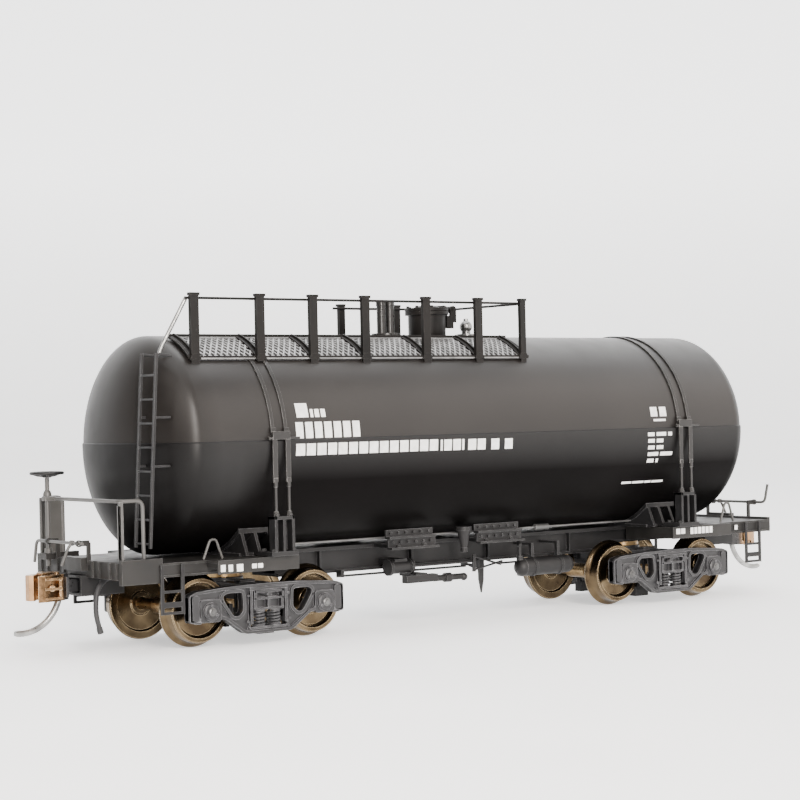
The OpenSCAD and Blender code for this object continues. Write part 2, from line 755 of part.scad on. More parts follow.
module uncoupling_lever_brake_end() {
    rotate([0, 0, 180]) uncoupling_lever(-3.3);
}
module uncoupling_lever_plain_end() {
    uncoupling_lever(3.3);
}

// ---- handbrake -----------------------------------------------------------------------------

brake_wheel_z = 25.3;

module handbrake_shaft() {
    color("#2c2c2c") translate([brake_x, brake_y, 0]) {
        translate([0, 0, 12.2]) cylinder(h = brake_wheel_z - 12.2, r = 0.35);
        translate([0, 0, rail_top + 0.36]) cylinder(h = 0.8, r = 0.65);
        translate([0, 0, deck_z + 1.05]) cylinder(h = 0.7, r = 0.58);
    }
}

module handbrake_wheel() {
    rim = 2.3;
    color("#1e1e1e") translate([brake_x, brake_y, brake_wheel_z]) {
        translate([0, 0, 0.75]) rotate_extrude() translate([rim, 0]) circle(r = 0.3, $fn = 24);
        translate([0, 0, 0.02]) cylinder(h = 0.7, r = 0.6);
        for (i = [0 : 4]) rotate([0, 0, 72 * i]) bar([0.4, 0, 0.35], [rim, 0, 0.75], 0.17);
    }
}

// ---- bogies --------------------------------------------------------------------------------
// Everything here is drawn round the bogie's own pivot, then moved to its end of the wagon.

module at_bogie(end) {
    translate([end * pivot_x, 0, 0]) rotate([0, 0, end < 0 ? 180 : 0]) children();
}

frame_in = 11.3;
frame_out = 12.9;
bolster_z = 6.5;
spring_top = 5.18;

module bogie_bolster(end) {
    color("#343434") at_bogie(end)
    difference() {
        union() {
            block([-2.7, -13.1, bolster_z + 0.2], [2.7, 13.1, 8.1]);
            block([-2.4, -9, bolster_z], [2.4, 9, 8.9]);
            translate([0, 0, 8.6]) cylinder(h = 0.76, r = 3.2);
            both_sides() {
                block([-1.3, 5.4, 8.6], [1.3, 7.2, 9.3]);
                block([-2.6, 11.2, spring_top + 0.02], [2.6, 13, 7]);
            }
        }
        translate([0, 0, 5]) cylinder(h = 8, r = 1 + 0.1);
        both_sides() block([-2, 12.2, 7.05], [2, 14, 7.75]);
    }
}

// Half outline of a cast side frame, in x and height, from the top centre round to the bottom centre
half_frame_outline = [
    [0, 9.1], [6, 9], [12.2, 8.6], [13.6, 8.2], [13.6, 4.1], [12.3, 3.8], [11.6, 3.8], [11.4, 4.9],
    [8.6, 4.9], [8.2, 4.3], [7.4, 4.2], [4.6, 2.1], [3.9, 1.75], [0, 1.75]
];

function mirrored(points) = [for (i = [len(points) - 2 : -1 : 1]) [-points[i][0], points[i][1]]];

module side_frame_outline() {
    difference() {
        polygon(concat(half_frame_outline, mirrored(half_frame_outline)));
        for (side = [-1, 1]) scale([side, 1]) {
            polygon([[4.5, 8.1], [7.4, 8.1], [8, 7.6], [7.6, 6.6], [6.1, 4.5], [5.3, 4.3], [4.3, 5.2],
                [4.2, 7.7]]);
            polygon([[8.3, 5.3], [8.4, 6.3], [7.7, 5.2], [7.9, 4.8]]);
        }
        polygon([[-2.9, 8.15], [2.9, 8.15], [2.9, 3.6], [3.3, 2.7], [-3.3, 2.7], [-2.9, 3.6]]);
    }
}

module side_frame(side) {
    mirror([0, side < 0 ? 1 : 0, 0])
    difference() {
        union() {
            translate([0, frame_out, 0]) rotate([90, 0, 0]) linear_extrude(frame_out - frame_in)
                side_frame_outline();
            for (x = [-half_base, half_base]) {
                block([x - 1.7, 11, 4], [x + 1.7, 13, 7.4]);
                along_y([x, 12.9, axle_z], 0.6, 1.3);
                along_y([x, 13.4, axle_z], 0.2, 0.85);
            }
        }
        for (x = [-half_base, half_base])
            along_y([x, 9, axle_z], 3.4, journal_r + running);
    }
}

module side_frames(end) {
    color("#3a3a3c") at_bogie(end) {
        side_frame(-1);
        side_frame(1);
    }
}

// Two coil springs under each bolster end
module springs(end) {
    low = 2.72;
    color("#48484a") at_bogie(end) both_sides() for (x = [-1.35, 1.35]) translate([x, 12.1, low]) {
        cylinder(h = spring_top - low, r = 0.75, $fn = 32);
        for (i = [0 : 3]) translate([0, 0, 0.1 + 0.62 * i]) cylinder(h = 0.38, r = 1.05, $fn = 32);
    }
}

module brake_gear(end) {
    beam_x = 3.75;
    color("#2a2a2c") at_bogie(end) {
        for (side = [-1, 1]) scale([side, 1, 1]) {
            block([beam_x - 0.45, -9.8, 3.3], [beam_x + 0.2, 9.8, 4.1]);
            both_sides() {
                translate([half_base, 8.2, axle_z]) rotate([-90, 0, 0]) difference() {
                    intersection() {
                        cylinder(h = 1.6, r = tread_r + 0.9);
                        translate([-7.4, -0.6, -1]) cube([4, 3.4, 4]);
                    }
                    translate([0, 0, -1]) cylinder(h = 4, r = tread_r + 0.35);
                }
                block([beam_x, 8.3, 3.4], [5, 9.7, 4]);
                block([beam_x - 0.4, 9.2, 3.9], [beam_x, 9.6, 7.6]);
                block([2.72, 9.2, 7.2], [beam_x, 9.6, 7.6]);
            }
            bar([beam_x, 0, 3.6], [0.2, 0, 3], 0.25);
        }
        block([-0.5, -0.5, 2.6], [0.5, 0.5, 3.4]);
        both_sides() block([-4.1, 6.2, 1], [-1.2, 7.9, 2.7]);
        both_sides() block([-4.1, 6.6, 2.5], [-3.5, 7.4, 3.6]);
    }
}

// ---- wheelsets -----------------------------------------------------------------------------

axle_x = [-pivot_x - half_base, -pivot_x + half_base, pivot_x - half_base, pivot_x + half_base];

module axle(i) {
    color("#c49a5a") translate([axle_x[i], 0, axle_z]) {
        along_y([0, -wheel_back - wheel_w, 0], 2 * (wheel_back + wheel_w), axle_r);
        along_y([0, -journal_end, 0], 2 * journal_end, journal_r);
        along_y([0, -2.4, 0], 4.8, 1.25);
    }
}

// Wheel profile as [radius, distance from the back face]
wheel_profile = [
    [axle_r, 0], [flange_r - 0.35, 0], [flange_r, 0.3], [flange_r, 0.55], [tread_r + 0.2, 0.95],
    [tread_r + 0.05, 1.2], [tread_r, wheel_w - 0.3], [tread_r - 0.15, wheel_w], [tread_r - 0.75, wheel_w],
    [tread_r - 0.95, wheel_w - 0.8], [2.1, wheel_w - 0.9], [1.9, wheel_w - 0.15], [axle_r, wheel_w - 0.15]
];

module wheels(i) {
    color("#b88a4a") translate([axle_x[i], 0, axle_z]) both_sides()
    translate([0, wheel_back, 0]) rotate([-90, 0, 0]) rotate_extrude($fn = 96) polygon(wheel_profile);
}

tank_barrel();
tank_ends();
heating_jacket();
ballast_weight();
strap_bands();
strap_tie_rods();
strap_brackets();
saddles();
centre_sill();
end_platforms();
body_bolsters();
kingpins();
side_bearers();
outlet_pipes();
brake_cylinder();
brake_rods();
control_valve();
air_reservoir();
train_pipe();
grab_hoops();
stirrup_steps();
end_railing();
end_ladder();
walkway_frame();
walkway_mesh();
walkway_posts();
handrails();
grab_rod();
manway_neck();
manway_hinge();
manway_lid();
top_fittings();
draft_boxes();
brake_hoses();
coupler_brake_end();
coupler_plain_end();
knuckle_brake_end();
knuckle_plain_end();
trip_pin_brake_end();
trip_pin_plain_end();
uncoupling_lever_brake_end();
uncoupling_lever_plain_end();
handbrake_wheel();
handbrake_shaft();
bogie_bolster(-1);  // bogie_bolster_brake_end
bogie_bolster(1);  // bogie_bolster_plain_end
side_frames(-1);  // side_frames_brake_end
side_frames(1);  // side_frames_plain_end
springs(-1);  // springs_brake_end
springs(1);  // springs_plain_end
brake_gear(-1);  // brake_gear_brake_end
brake_gear(1);  // brake_gear_plain_end
axle(0);  // axle_1
wheels(0);  // wheels_1
axle(1);  // axle_2
wheels(1);  // wheels_2
axle(2);  // axle_3
wheels(2);  // wheels_3
axle(3);  // axle_4
wheels(3);  // wheels_4
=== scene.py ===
import json
import math

import bmesh
import bpy
from mathutils import Matrix, Vector
from mathutils.geometry import tessellate_polygon

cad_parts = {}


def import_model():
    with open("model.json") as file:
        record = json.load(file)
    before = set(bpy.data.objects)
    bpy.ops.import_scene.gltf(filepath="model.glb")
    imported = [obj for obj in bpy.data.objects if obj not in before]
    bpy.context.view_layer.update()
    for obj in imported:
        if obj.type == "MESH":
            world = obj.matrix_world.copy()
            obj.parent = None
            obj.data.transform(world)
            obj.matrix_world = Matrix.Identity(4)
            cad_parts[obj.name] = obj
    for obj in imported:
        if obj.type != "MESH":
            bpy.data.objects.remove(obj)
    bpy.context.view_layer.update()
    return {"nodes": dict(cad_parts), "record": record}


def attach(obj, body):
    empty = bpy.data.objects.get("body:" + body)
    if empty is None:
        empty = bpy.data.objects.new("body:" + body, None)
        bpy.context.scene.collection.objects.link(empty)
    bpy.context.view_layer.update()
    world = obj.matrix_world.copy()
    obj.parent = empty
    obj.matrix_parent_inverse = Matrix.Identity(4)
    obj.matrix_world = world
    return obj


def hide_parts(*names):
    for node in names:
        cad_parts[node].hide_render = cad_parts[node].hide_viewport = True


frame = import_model()
NODE_BODY = {node: body for body, nodes in frame["record"]["behaviour"]["bodies"].items() for node in nodes}
NODE_SLOT = {row["node"]: row["material_slot"] for row in frame["record"]["subparts"]}
MM = 0.001
HALF_TURN = Matrix.Rotation(math.pi, 4, "Z")
STILL = Matrix.Identity(4)
OTHER_SIDE = Matrix.Diagonal((1, -1, 1, 1))

# Sizes of the wagon, in millimetres. X runs along it, and the hand wheel is at the -X end.
TANK_R = 16.3
TANK_Z = 29.9
SEAM_X = 54.2        # where the barrel ends and a dish begins
DISH = 6.4           # how far a dish stands out
JACKET_R = 16.48
STRAP_X = 41.4
STRAP_OFF = 1.15     # half the gap between the two bands of a pair
PIVOT_X = 41.6
HALF_BASE = 10.05
AXLE_Z = 5.55
HALF_FRAME = 66.2
HALF_WIDTH = 12.8
DECK_Z = 13.1
LEVER_X = 67.7
LEVER_Z = 16
RAIL_TOP = 22.2
HAND_WHEEL_X = -66.9
HAND_WHEEL_Y = 8
WALK_LO = -53.3
WALK_HI = 11.6
FAR_WALK_LO = -12.4

# The camera's heading from +Y towards +X, in degrees. The backdrop faces it.
HEADING = 36.8045


# ---- surfaces -------------------------------------------------------------------------------

def new_material(name):
    """A material with one shader, and the node that says where a point is."""
    material = bpy.data.materials.new(name)
    material.use_nodes = True
    tree = material.node_tree
    tree.nodes.clear()
    out = tree.nodes.new("ShaderNodeOutputMaterial")
    shader = tree.nodes.new("ShaderNodeBsdfPrincipled")
    tree.links.new(shader.outputs[0], out.inputs[0])
    place = tree.nodes.new("ShaderNodeTexCoord")
    return material, tree, shader, place


def noise(tree, place, scale, detail=3.0):
    node = tree.nodes.new("ShaderNodeTexNoise")
    node.inputs["Scale"].default_value = scale
    node.inputs["Detail"].default_value = detail
    tree.links.new(place.outputs["Object"], node.inputs["Vector"])
    return node.outputs["Fac"]


def spread(tree, value, low, high, out_low, out_high):
    """Maps low to high onto out_low to out_high, and holds still beyond them."""
    node = tree.nodes.new("ShaderNodeMapRange")
    node.inputs["From Min"].default_value = low
    node.inputs["From Max"].default_value = high
    node.inputs["To Min"].default_value = out_low
    node.inputs["To Max"].default_value = out_high
    tree.links.new(value, node.inputs["Value"])
    return node.outputs[0]


def times(tree, a, b):
    node = tree.nodes.new("ShaderNodeMath")
    node.operation = "MULTIPLY"
    tree.links.new(a, node.inputs[0])
    tree.links.new(b, node.inputs[1])
    return node.outputs[0]


def blend(tree, factor, a, b):
    """From a, where the factor is 0, to b, where it is 1; each is a colour or a socket."""
    node = tree.nodes.new("ShaderNodeMix")
    node.data_type = "RGBA"
    tree.links.new(factor, node.inputs["Factor"])
    # a mix node's colour sockets are its seventh and eighth, and its colour comes out of the third
    for socket, colour in ((6, a), (7, b)):
        if isinstance(colour, tuple):
            node.inputs[socket].default_value = (*colour, 1)
        else:
            tree.links.new(colour, node.inputs[socket])
    return node.outputs[2]


def bump(tree, shader, height, strength, depth):
    relief = tree.nodes.new("ShaderNodeBump")
    relief.inputs["Strength"].default_value = strength
    relief.inputs["Distance"].default_value = depth * MM
    tree.links.new(height, relief.inputs["Height"])
    tree.links.new(relief.outputs[0], shader.inputs["Normal"])


def edge_mask(tree, radius, amount):
    """How near a point is to an edge, for a lighter tone that is partly wear and partly painted highlight: the
    rounded normal leans away from the true one.
    """
    rounded = tree.nodes.new("ShaderNodeBevel")
    rounded.samples = 4
    rounded.inputs["Radius"].default_value = radius * MM
    true = tree.nodes.new("ShaderNodeNewGeometry")
    dot = tree.nodes.new("ShaderNodeVectorMath")
    dot.operation = "DOT_PRODUCT"
    tree.links.new(rounded.outputs[0], dot.inputs[0])
    tree.links.new(true.outputs["Normal"], dot.inputs[1])
    return spread(tree, dot.outputs["Value"], 0.995, 0.8, 0.0, amount)


def surface(name, colour, second, rough, metal=0.0, gloss=0.5, patch=150, grain=5000,
            rough_grain=0.2, vary=0.08, wear_and_highlight=None, wear_and_highlight_size=0.12, wear_and_highlight_amount=0.8):
    """Two tones in patches, uneven roughness, fine grain, and a third, lighter tone along the edges that is
    partly wear and partly painted highlight.
    """
    material, tree, shader, place = new_material(name)
    patches = noise(tree, place, patch, 4.0)
    tint = blend(tree, spread(tree, patches, 0.35, 0.65, 0.0, 1.0), colour, second)
    # the lighter edge tone is partly wear and partly painted highlight, the glint of lit edges
    if wear_and_highlight:
        edge_breakup = spread(tree, noise(tree, place, 900, 3.0), 0.35, 0.6, 0.25, 1.0)
        mask = times(tree, edge_mask(tree, wear_and_highlight_size, wear_and_highlight_amount), edge_breakup)
        tint = blend(tree, mask, tint, wear_and_highlight)
    tree.links.new(tint, shader.inputs["Base Color"])
    tree.links.new(spread(tree, noise(tree, place, patch * 4, 4.0), 0.3, 0.7, rough - vary, rough + vary),
                   shader.inputs["Roughness"])
    shader.inputs["Metallic"].default_value = metal
    shader.inputs["Specular IOR Level"].default_value = gloss
    bump(tree, shader, noise(tree, place, grain, 2.0), rough_grain, 0.02)
    return material


def opened(material):
    """A finished material's tree and shader, and sockets that say where a point is in X, Y and Z."""
    tree = material.node_tree
    shader = next(n for n in tree.nodes if n.type == "BSDF_PRINCIPLED")
    place = next(n for n in tree.nodes if n.type == "TEX_COORD")
    return tree, shader, parts_of(tree, place)


def parts_of(tree, place):
    parts = tree.nodes.new("ShaderNodeSeparateXYZ")
    tree.links.new(place.outputs["Object"], parts.inputs[0])
    return parts.outputs


def painted_shade_and_highlight(material, high, low, end_low, gloss_high, gloss_low):
    """Lets the shine of a surface fade with height, between two levels in millimetres, as painted shade low
    down.

    At the hand wheel end it fades down to end_low instead, so that a painted highlight can reach lower there,
    and the dish there is duller, as painted shade.
    """
    tree, shader, (along, _, up) = opened(material)
    # painted shade: less shine lower down and on the dish at the hand wheel end
    middle = spread(tree, up, low * MM, high * MM, gloss_low, gloss_high)
    end = times(tree, spread(tree, up, end_low * MM, high * MM, gloss_low, gloss_high),
                spread(tree, along, -60 * MM, -51 * MM, 0.3, 1.0))
    in_middle = spread(tree, along, -48 * MM, -43 * MM, 0.0, 1.0)
    tree.links.new(blend(tree, in_middle, end, middle), shader.inputs["Specular IOR Level"])
    return material


# The tank and its sheet have painted shade and highlight in their shine, set by height and by place along the
# wagon.
TANK = painted_shade_and_highlight(surface("tank paint", (0.0085, 0.0072, 0.0066), (0.0115, 0.0098, 0.0088), 0.4, patch=60,
                          rough_grain=0.1, vary=0.03),
                  high=37, low=30, end_low=30, gloss_high=0.5, gloss_low=0.36)
JACKET = painted_shade_and_highlight(surface("lagging sheet", (0.0025, 0.0022, 0.0022), (0.0035, 0.003, 0.003), 0.42, patch=70,
                            rough_grain=0.1, vary=0.03),
                    high=30.3, low=24, end_low=14, gloss_high=0.36, gloss_low=0.03)
# Where a material below has an edge tone, that lighter edge is partly wear and partly painted highlight.
BLACK = surface("satin black", (0.005, 0.0045, 0.0042), (0.009, 0.0078, 0.0072), 0.45, gloss=0.16,
                wear_and_highlight=(0.07, 0.068, 0.065), wear_and_highlight_amount=0.5)
FRAME = surface("frame black", (0.007, 0.007, 0.0075), (0.013, 0.0125, 0.013), 0.5, gloss=0.3,
                wear_and_highlight=(0.16, 0.16, 0.165), wear_and_highlight_amount=0.7)
GREY = surface("end grey", (0.045, 0.044, 0.042), (0.075, 0.073, 0.069), 0.4, gloss=0.5,
               wear_and_highlight=(0.3, 0.3, 0.3), wear_and_highlight_amount=0.7)
DECK = surface("deck grey", (0.01, 0.0095, 0.009), (0.02, 0.019, 0.018), 0.5, gloss=0.3,
               wear_and_highlight=(0.15, 0.15, 0.15), wear_and_highlight_amount=0.7)
CAST = surface("cast bogie", (0.014, 0.014, 0.0155), (0.024, 0.024, 0.026), 0.42, gloss=0.45, patch=260,
               rough_grain=0.45, wear_and_highlight=(0.36, 0.36, 0.38), wear_and_highlight_amount=0.6, wear_and_highlight_size=0.14)
STRAP = surface("strap", (0.009, 0.0085, 0.0085), (0.016, 0.015, 0.0145), 0.4, gloss=0.4,
                wear_and_highlight=(0.3, 0.29, 0.28), wear_and_highlight_amount=0.9, wear_and_highlight_size=0.1)
# The net's light grey strands are painted highlight, standing in for glints and the lit tank seen through the
# net.
MESH = surface("walkway mesh painted highlight", (0.3, 0.3, 0.3), (0.16, 0.16, 0.16), 0.35, metal=0.6, patch=400)
BRIGHT = surface("bright wire", (0.42, 0.42, 0.41), (0.2, 0.2, 0.195), 0.32, metal=1.0, patch=500)
PIPE = surface("grey pipe", (0.16, 0.16, 0.16), (0.08, 0.08, 0.08), 0.35, metal=0.5, gloss=0.5, patch=300)
HOSE = surface("hose", (0.022, 0.022, 0.024), (0.035, 0.035, 0.036), 0.55, gloss=0.3, patch=400,
               rough_grain=0.4)
BRASS = surface("knuckle brass", (0.5, 0.3, 0.15), (0.3, 0.165, 0.08), 0.32, metal=1.0, patch=350,
                wear_and_highlight=(0.8, 0.58, 0.36), wear_and_highlight_amount=0.6)
GOLD = surface("axle gold", (0.28, 0.195, 0.1), (0.17, 0.11, 0.052), 0.3, metal=1.0, patch=350)
BRONZE = surface("screw bronze", (0.4, 0.28, 0.14), (0.25, 0.16, 0.08), 0.35, metal=1.0)
STEEL = surface("ballast steel", (0.4, 0.4, 0.41), (0.3, 0.3, 0.3), 0.4, metal=1.0)
WHITE = surface("marking white", (0.9, 0.9, 0.88), (0.72, 0.72, 0.7), 0.6, patch=900)


def banded(material, low, high, dark, both_ends=False):
    """Keeps a metal surface beyond a distance along the wagon, and makes it plain dark before it."""
    tree, shader, (along, _, _) = opened(material)
    if both_ends:
        size = tree.nodes.new("ShaderNodeMath")
        size.operation = "ABSOLUTE"
        tree.links.new(along, size.inputs[0])
        along = size.outputs[0]
    front = spread(tree, along, low * MM, high * MM, 0.0, 1.0)
    colour = shader.inputs["Base Color"].links[0].from_socket
    tree.links.new(blend(tree, front, dark, colour), shader.inputs["Base Color"])
    tree.links.new(front, shader.inputs["Metallic"])
    return material


# Blackened shank with a bare bronze head, and dark vents beside a bright valve
HEAD = banded(surface("coupler head", (0.34, 0.2, 0.1), (0.07, 0.042, 0.022), 0.3, metal=1.0, patch=500,
                      wear_and_highlight=(0.85, 0.62, 0.38), wear_and_highlight_amount=0.85, wear_and_highlight_size=0.22),
              69.4, 70.2, (0.016, 0.016, 0.017), both_ends=True)
FITTINGS = banded(surface("top fittings", (0.35, 0.35, 0.34), (0.16, 0.16, 0.16), 0.32, metal=1.0, patch=500,
                          wear_and_highlight=(0.7, 0.7, 0.7)),
                  3.0, 3.2, (0.008, 0.0075, 0.0072))


def wheel_surface():
    """Turned nickel brass, toned brown, with fine rings and lighter edges that are partly bare metal and partly
    painted highlight.
    """
    material, tree, shader, place = new_material("toned wheel")
    patches = noise(tree, place, 260, 4.0)
    tint = blend(tree, spread(tree, patches, 0.35, 0.65, 0, 1), (0.16, 0.118, 0.068), (0.06, 0.042, 0.025))
    # lighter edges: partly bare metal, partly painted highlight
    tint = blend(tree, edge_mask(tree, 0.22, 0.95), tint, (0.8, 0.63, 0.4))
    tree.links.new(tint, shader.inputs["Base Color"])
    rings = tree.nodes.new("ShaderNodeTexWave")
    rings.wave_type = "RINGS"
    rings.rings_direction = "Y"
    rings.inputs["Scale"].default_value = 700
    rings.inputs["Distortion"].default_value = 0.6
    tree.links.new(place.outputs["Object"], rings.inputs["Vector"])
    bump(tree, shader, rings.outputs["Fac"], 0.12, 0.01)
    tree.links.new(spread(tree, patches, 0.3, 0.7, 0.16, 0.3), shader.inputs["Roughness"])
    shader.inputs["Metallic"].default_value = 1.0
    return material


WHEEL = wheel_surface()


# ---- mesh helpers ---------------------------------------------------------------------------

def corner(before, here, after, radius, steps):
    """A curve that cuts the corner between two straight runs."""
    a, b = before - here, after - here
    reach = min(radius, a.length * 0.45, b.length * 0.45)
    start, end = here + a.normalized() * reach, here + b.normalized() * reach
    shares = [k / steps for k in range(steps + 1)]
    return [start.lerp(here, t).lerp(here.lerp(end, t), t) for t in shares]


def rounded(points, radius, steps=6):
    """A path with its corners rounded off."""
    points = [Vector(p) for p in points]
    path = [points[0]]
    for before, here, after in zip(points, points[1:], points[2:]):
        path += corner(before, here, after, radius, steps)
    return path + [points[-1]]


def grown(points, d):
    """A closed outline moved outward by d (inward if d is negative); the outline runs counter-clockwise."""
    result = []
    count = len(points)
    for i in range(count):
        p, q, r = (Vector(points[j % count]) for j in (i - 1, i, i + 1))
        a, b = (q - p).normalized(), (r - q).normalized()
        na, nb = Vector((a.y, -a.x)), Vector((b.y, -b.x))
        middle = na + nb
        if middle.length < 0.2:
            middle = na
        middle.normalize()
        result.append(q + middle * (d / max(0.45, middle.dot(na))))
    return result


def soft_corners(points, radius, steps=4):
    """A closed flat outline with rounded corners."""
    points = [Vector(p) for p in points]
    result = []
    for i, here in enumerate(points):
        result += corner(points[i - 1], here, points[(i + 1) % len(points)], radius, steps)
    return result


def rectangle(x0, y0, x1, y1):
    return [(x0, y0), (x1, y0), (x1, y1), (x0, y1)]


def circle(radius, sides, centre=(0, 0), turn=1):
    """A round outline, which runs the other way round if turn is -1."""
    angles = [turn * 2 * math.pi * k / sides for k in range(sides)]
    return [(centre[0] + radius * math.cos(t), centre[1] + radius * math.sin(t)) for t in angles]


def square_tube(rows):
    """The faces of a bar with four corners in each row, closed at both ends."""
    faces = []
    for i in range(rows - 1):
        for k in range(4):
            a, b = 4 * i + k, 4 * i + (k + 1) % 4
            faces.append((a, b, b + 4, a + 4))
    last = 4 * (rows - 1)
    return faces + [(3, 2, 1, 0), tuple(last + k for k in range(4))]


def on_barrel(x, radius, angle):
    """A point at an angle round the tank's axis, 0 at +Y and 90 degrees at the top."""
    return (x, radius * math.cos(angle), TANK_Z + radius * math.sin(angle))


class Piece:
    """Gathers shapes in millimetres and turns them into one object."""

    def __init__(self, name, body, slot, material, replaces=(), bevel=0.0, angle=32):
        self.name, self.body, self.slot, self.material = name, body, slot, material
        self.replaces, self.bevel, self.angle = replaces, bevel, angle
        self.mesh = bmesh.new()
        self.place = STILL

    def add(self, verts, faces):
        made = [self.mesh.verts.new(self.place @ Vector(v)) for v in verts]
        for face in faces:
            self.mesh.faces.new([made[i] for i in face])

    def block(self, lo, hi):
        corners = [(x, y, z) for x in (lo[0], hi[0]) for y in (lo[1], hi[1]) for z in (lo[2], hi[2])]
        self.add(corners, [(0, 1, 3, 2), (4, 6, 7, 5), (0, 4, 5, 1), (2, 3, 7, 6), (0, 2, 6, 4), (1, 5, 7, 3)])

    def prism(self, outline, axis, a, b, holes=()):
        """A flat outline drawn in the other two axes, from a to b along the axis."""
        def at(p, d):
            return {"x": (d, p[0], p[1]), "y": (p[0], d, p[1]), "z": (p[0], p[1], d)}[axis]
        loops = [outline, *holes]
        flat = [p for loop in loops for p in loop]
        n = len(flat)
        verts = [at(p, a) for p in flat] + [at(p, b) for p in flat]
        faces = []
        for tri in tessellate_polygon([[Vector((p[0], p[1], 0)) for p in loop] for loop in loops]):
            if len(set(tri)) == 3:
                faces += [tuple(tri), tuple(i + n for i in reversed(tri))]
        start = 0
        for loop in loops:
            for i in range(len(loop)):
                j = start + (i + 1) % len(loop)
                faces.append((start + i, j, j + n, start + i + n))
            start += len(loop)
        self.add(verts, faces)

    def sweep(self, path, r, sides=12):
        """A round wire along a path; r may be a list, one radius for each point."""
        path = [Vector(p) for p in path]
        radii = r if isinstance(r, (list, tuple)) else [r] * len(path)
        verts, faces = [], []
        ahead = (path[1] - path[0]).normalized()
        side = ahead.orthogonal().normalized()
        for i, p in enumerate(path):
            here = (path[min(i + 1, len(path) - 1)] - path[max(i - 1, 0)]).normalized()
            side = (side - here * side.dot(here)).normalized()
            up = here.cross(side)
            for k in range(sides):
                t = 2 * math.pi * k / sides
                verts.append(p + (side * math.cos(t) + up * math.sin(t)) * radii[i])
        for i in range(len(path) - 1):
            for k in range(sides):
                a, b = i * sides + k, i * sides + (k + 1) % sides
                faces.append((a, b, b + sides, a + sides))
        faces.append(tuple(range(sides - 1, -1, -1)))
        faces.append(tuple(range(len(verts) - sides, len(verts))))
        self.add(verts, faces)

    def rod(self, a, b, r, sides=24):
        self.sweep([a, b], r, sides)

    def wire(self, points, r, bend=1.0, sides=12):
        self.sweep(rounded(points, bend), r, sides)

    def lathe(self, profile, at, axis, steps=64):
        """A closed profile of [radius, distance along the axis] turned round the axis through a point."""
        frames = {"x": ((0, 1, 0), (0, 0, 1), (1, 0, 0)), "y": ((0, 0, 1), (1, 0, 0), (0, 1, 0)),
                  "z": ((1, 0, 0), (0, 1, 0), (0, 0, 1))}[axis]
        u, v, w = (Vector(f) for f in frames)
        at = Vector(at)
        rows = []
        verts = []
        for radius, d in profile:
            if radius < 1e-6:
                rows.append([len(verts)] * steps)
                verts.append(at + w * d)
            else:
                rows.append([len(verts) + k for k in range(steps)])
                for k in range(steps):
                    t = 2 * math.pi * k / steps
                    verts.append(at + (u * math.cos(t) + v * math.sin(t)) * radius + w * d)
        faces = []
        closed = profile[0][0] > 1e-6 or profile[-1][0] > 1e-6
        pairs = list(zip(rows, rows[1:])) + ([(rows[-1], rows[0])] if closed else [])
        for row, following in pairs:
            for k in range(steps):
                m = (k + 1) % steps
                loop = []
                for index in (row[k], row[m], following[m], following[k]):
                    if index not in loop:
                        loop.append(index)
                if len(loop) > 2:
                    faces.append(tuple(loop))
        self.add(verts, faces)

    def bolt(self, at, axis, r, h, sides=6):
        """A bolt head standing out along the signed axis, such as '-y'."""
        sign = -1 if axis[0] == "-" else 1
        step = Vector({"x": (1, 0, 0), "y": (0, 1, 0), "z": (0, 0, 1)}[axis[-1]]) * sign
        at = Vector(at)
        self.sweep([at, at + step * h * 0.75, at + step * h], [r, r, r * 0.72], sides)

    def arc(self, x0, x1, r0, r1, lo, hi, steps=24):
        """A bar bent round the tank's axis between two angles in degrees, 0 at +Y and 90 at the top."""
        verts = []
        for i in range(steps + 1):
            t = math.radians(lo + (hi - lo) * i / steps)
            verts += [on_barrel(x, r, t) for x, r in rectangle(x0, r0, x1, r1)]
        self.add(verts, square_tube(steps + 1))

    def done(self):
        bmesh.ops.recalc_face_normals(self.mesh, faces=self.mesh.faces)
        self.mesh.transform(Matrix.Scale(MM, 4))
        data = bpy.data.meshes.new(self.name)
        self.mesh.to_mesh(data)
        self.mesh.free()
        return finish_object(self.name, data, self.body, self.material, self.replaces,
                             self.bevel, self.angle)


def finish_object(name, data, body, material, replaces, bevel, angle):
    data.materials.clear()
    data.materials.append(material)
    data.polygons.foreach_set("use_smooth", [True] * len(data.polygons))
    data.set_sharp_from_angle(angle=math.radians(angle))
    thing = bpy.data.objects.new(name, data)
    bpy.context.scene.collection.objects.link(thing)
    if bevel:
        edge = thing.modifiers.new("edges", "BEVEL")
        edge.width = bevel * MM
        edge.segments = 2
        edge.limit_method = "ANGLE"
        edge.angle_limit = math.radians(38)
        edge.harden_normals = True
    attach(thing, body)
    if replaces:
        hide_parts(*replaces)
    return thing


def refine(node, material, bevel=0.07, angle=32):
    """The shape of a CAD node with its seams welded and its edges rounded."""
    data = frame["nodes"][node].data.copy()
    mesh = bmesh.new()
    mesh.from_mesh(data)
    bmesh.ops.remove_doubles(mesh, verts=mesh.verts, dist=1e-6)
    bmesh.ops.dissolve_limit(mesh, angle_limit=math.radians(0.5), verts=mesh.verts, edges=mesh.edges)
    fresh = bpy.data.meshes.new(node + "_shape")
    mesh.to_mesh(fresh)
    mesh.free()
    bpy.data.meshes.remove(data)
    return finish_object("v_" + node, fresh, NODE_BODY[node], material, (node,), bevel, angle)


def stand_in(node, material, bevel=0.0, angle=32):
    """A piece, to be drawn, that replaces one CAD node, takes its body and keeps a note of its slot."""
    return Piece("v_" + node, NODE_BODY[node], NODE_SLOT[node], material, (node,), bevel, angle)


def ends():
    """The name of each end, and the turn that takes a shape from the +X end to it."""
    yield "plain_end", STILL
    yield "brake_end", HALF_TURN


# ---- tank -----------------------------------------------------------------------------------

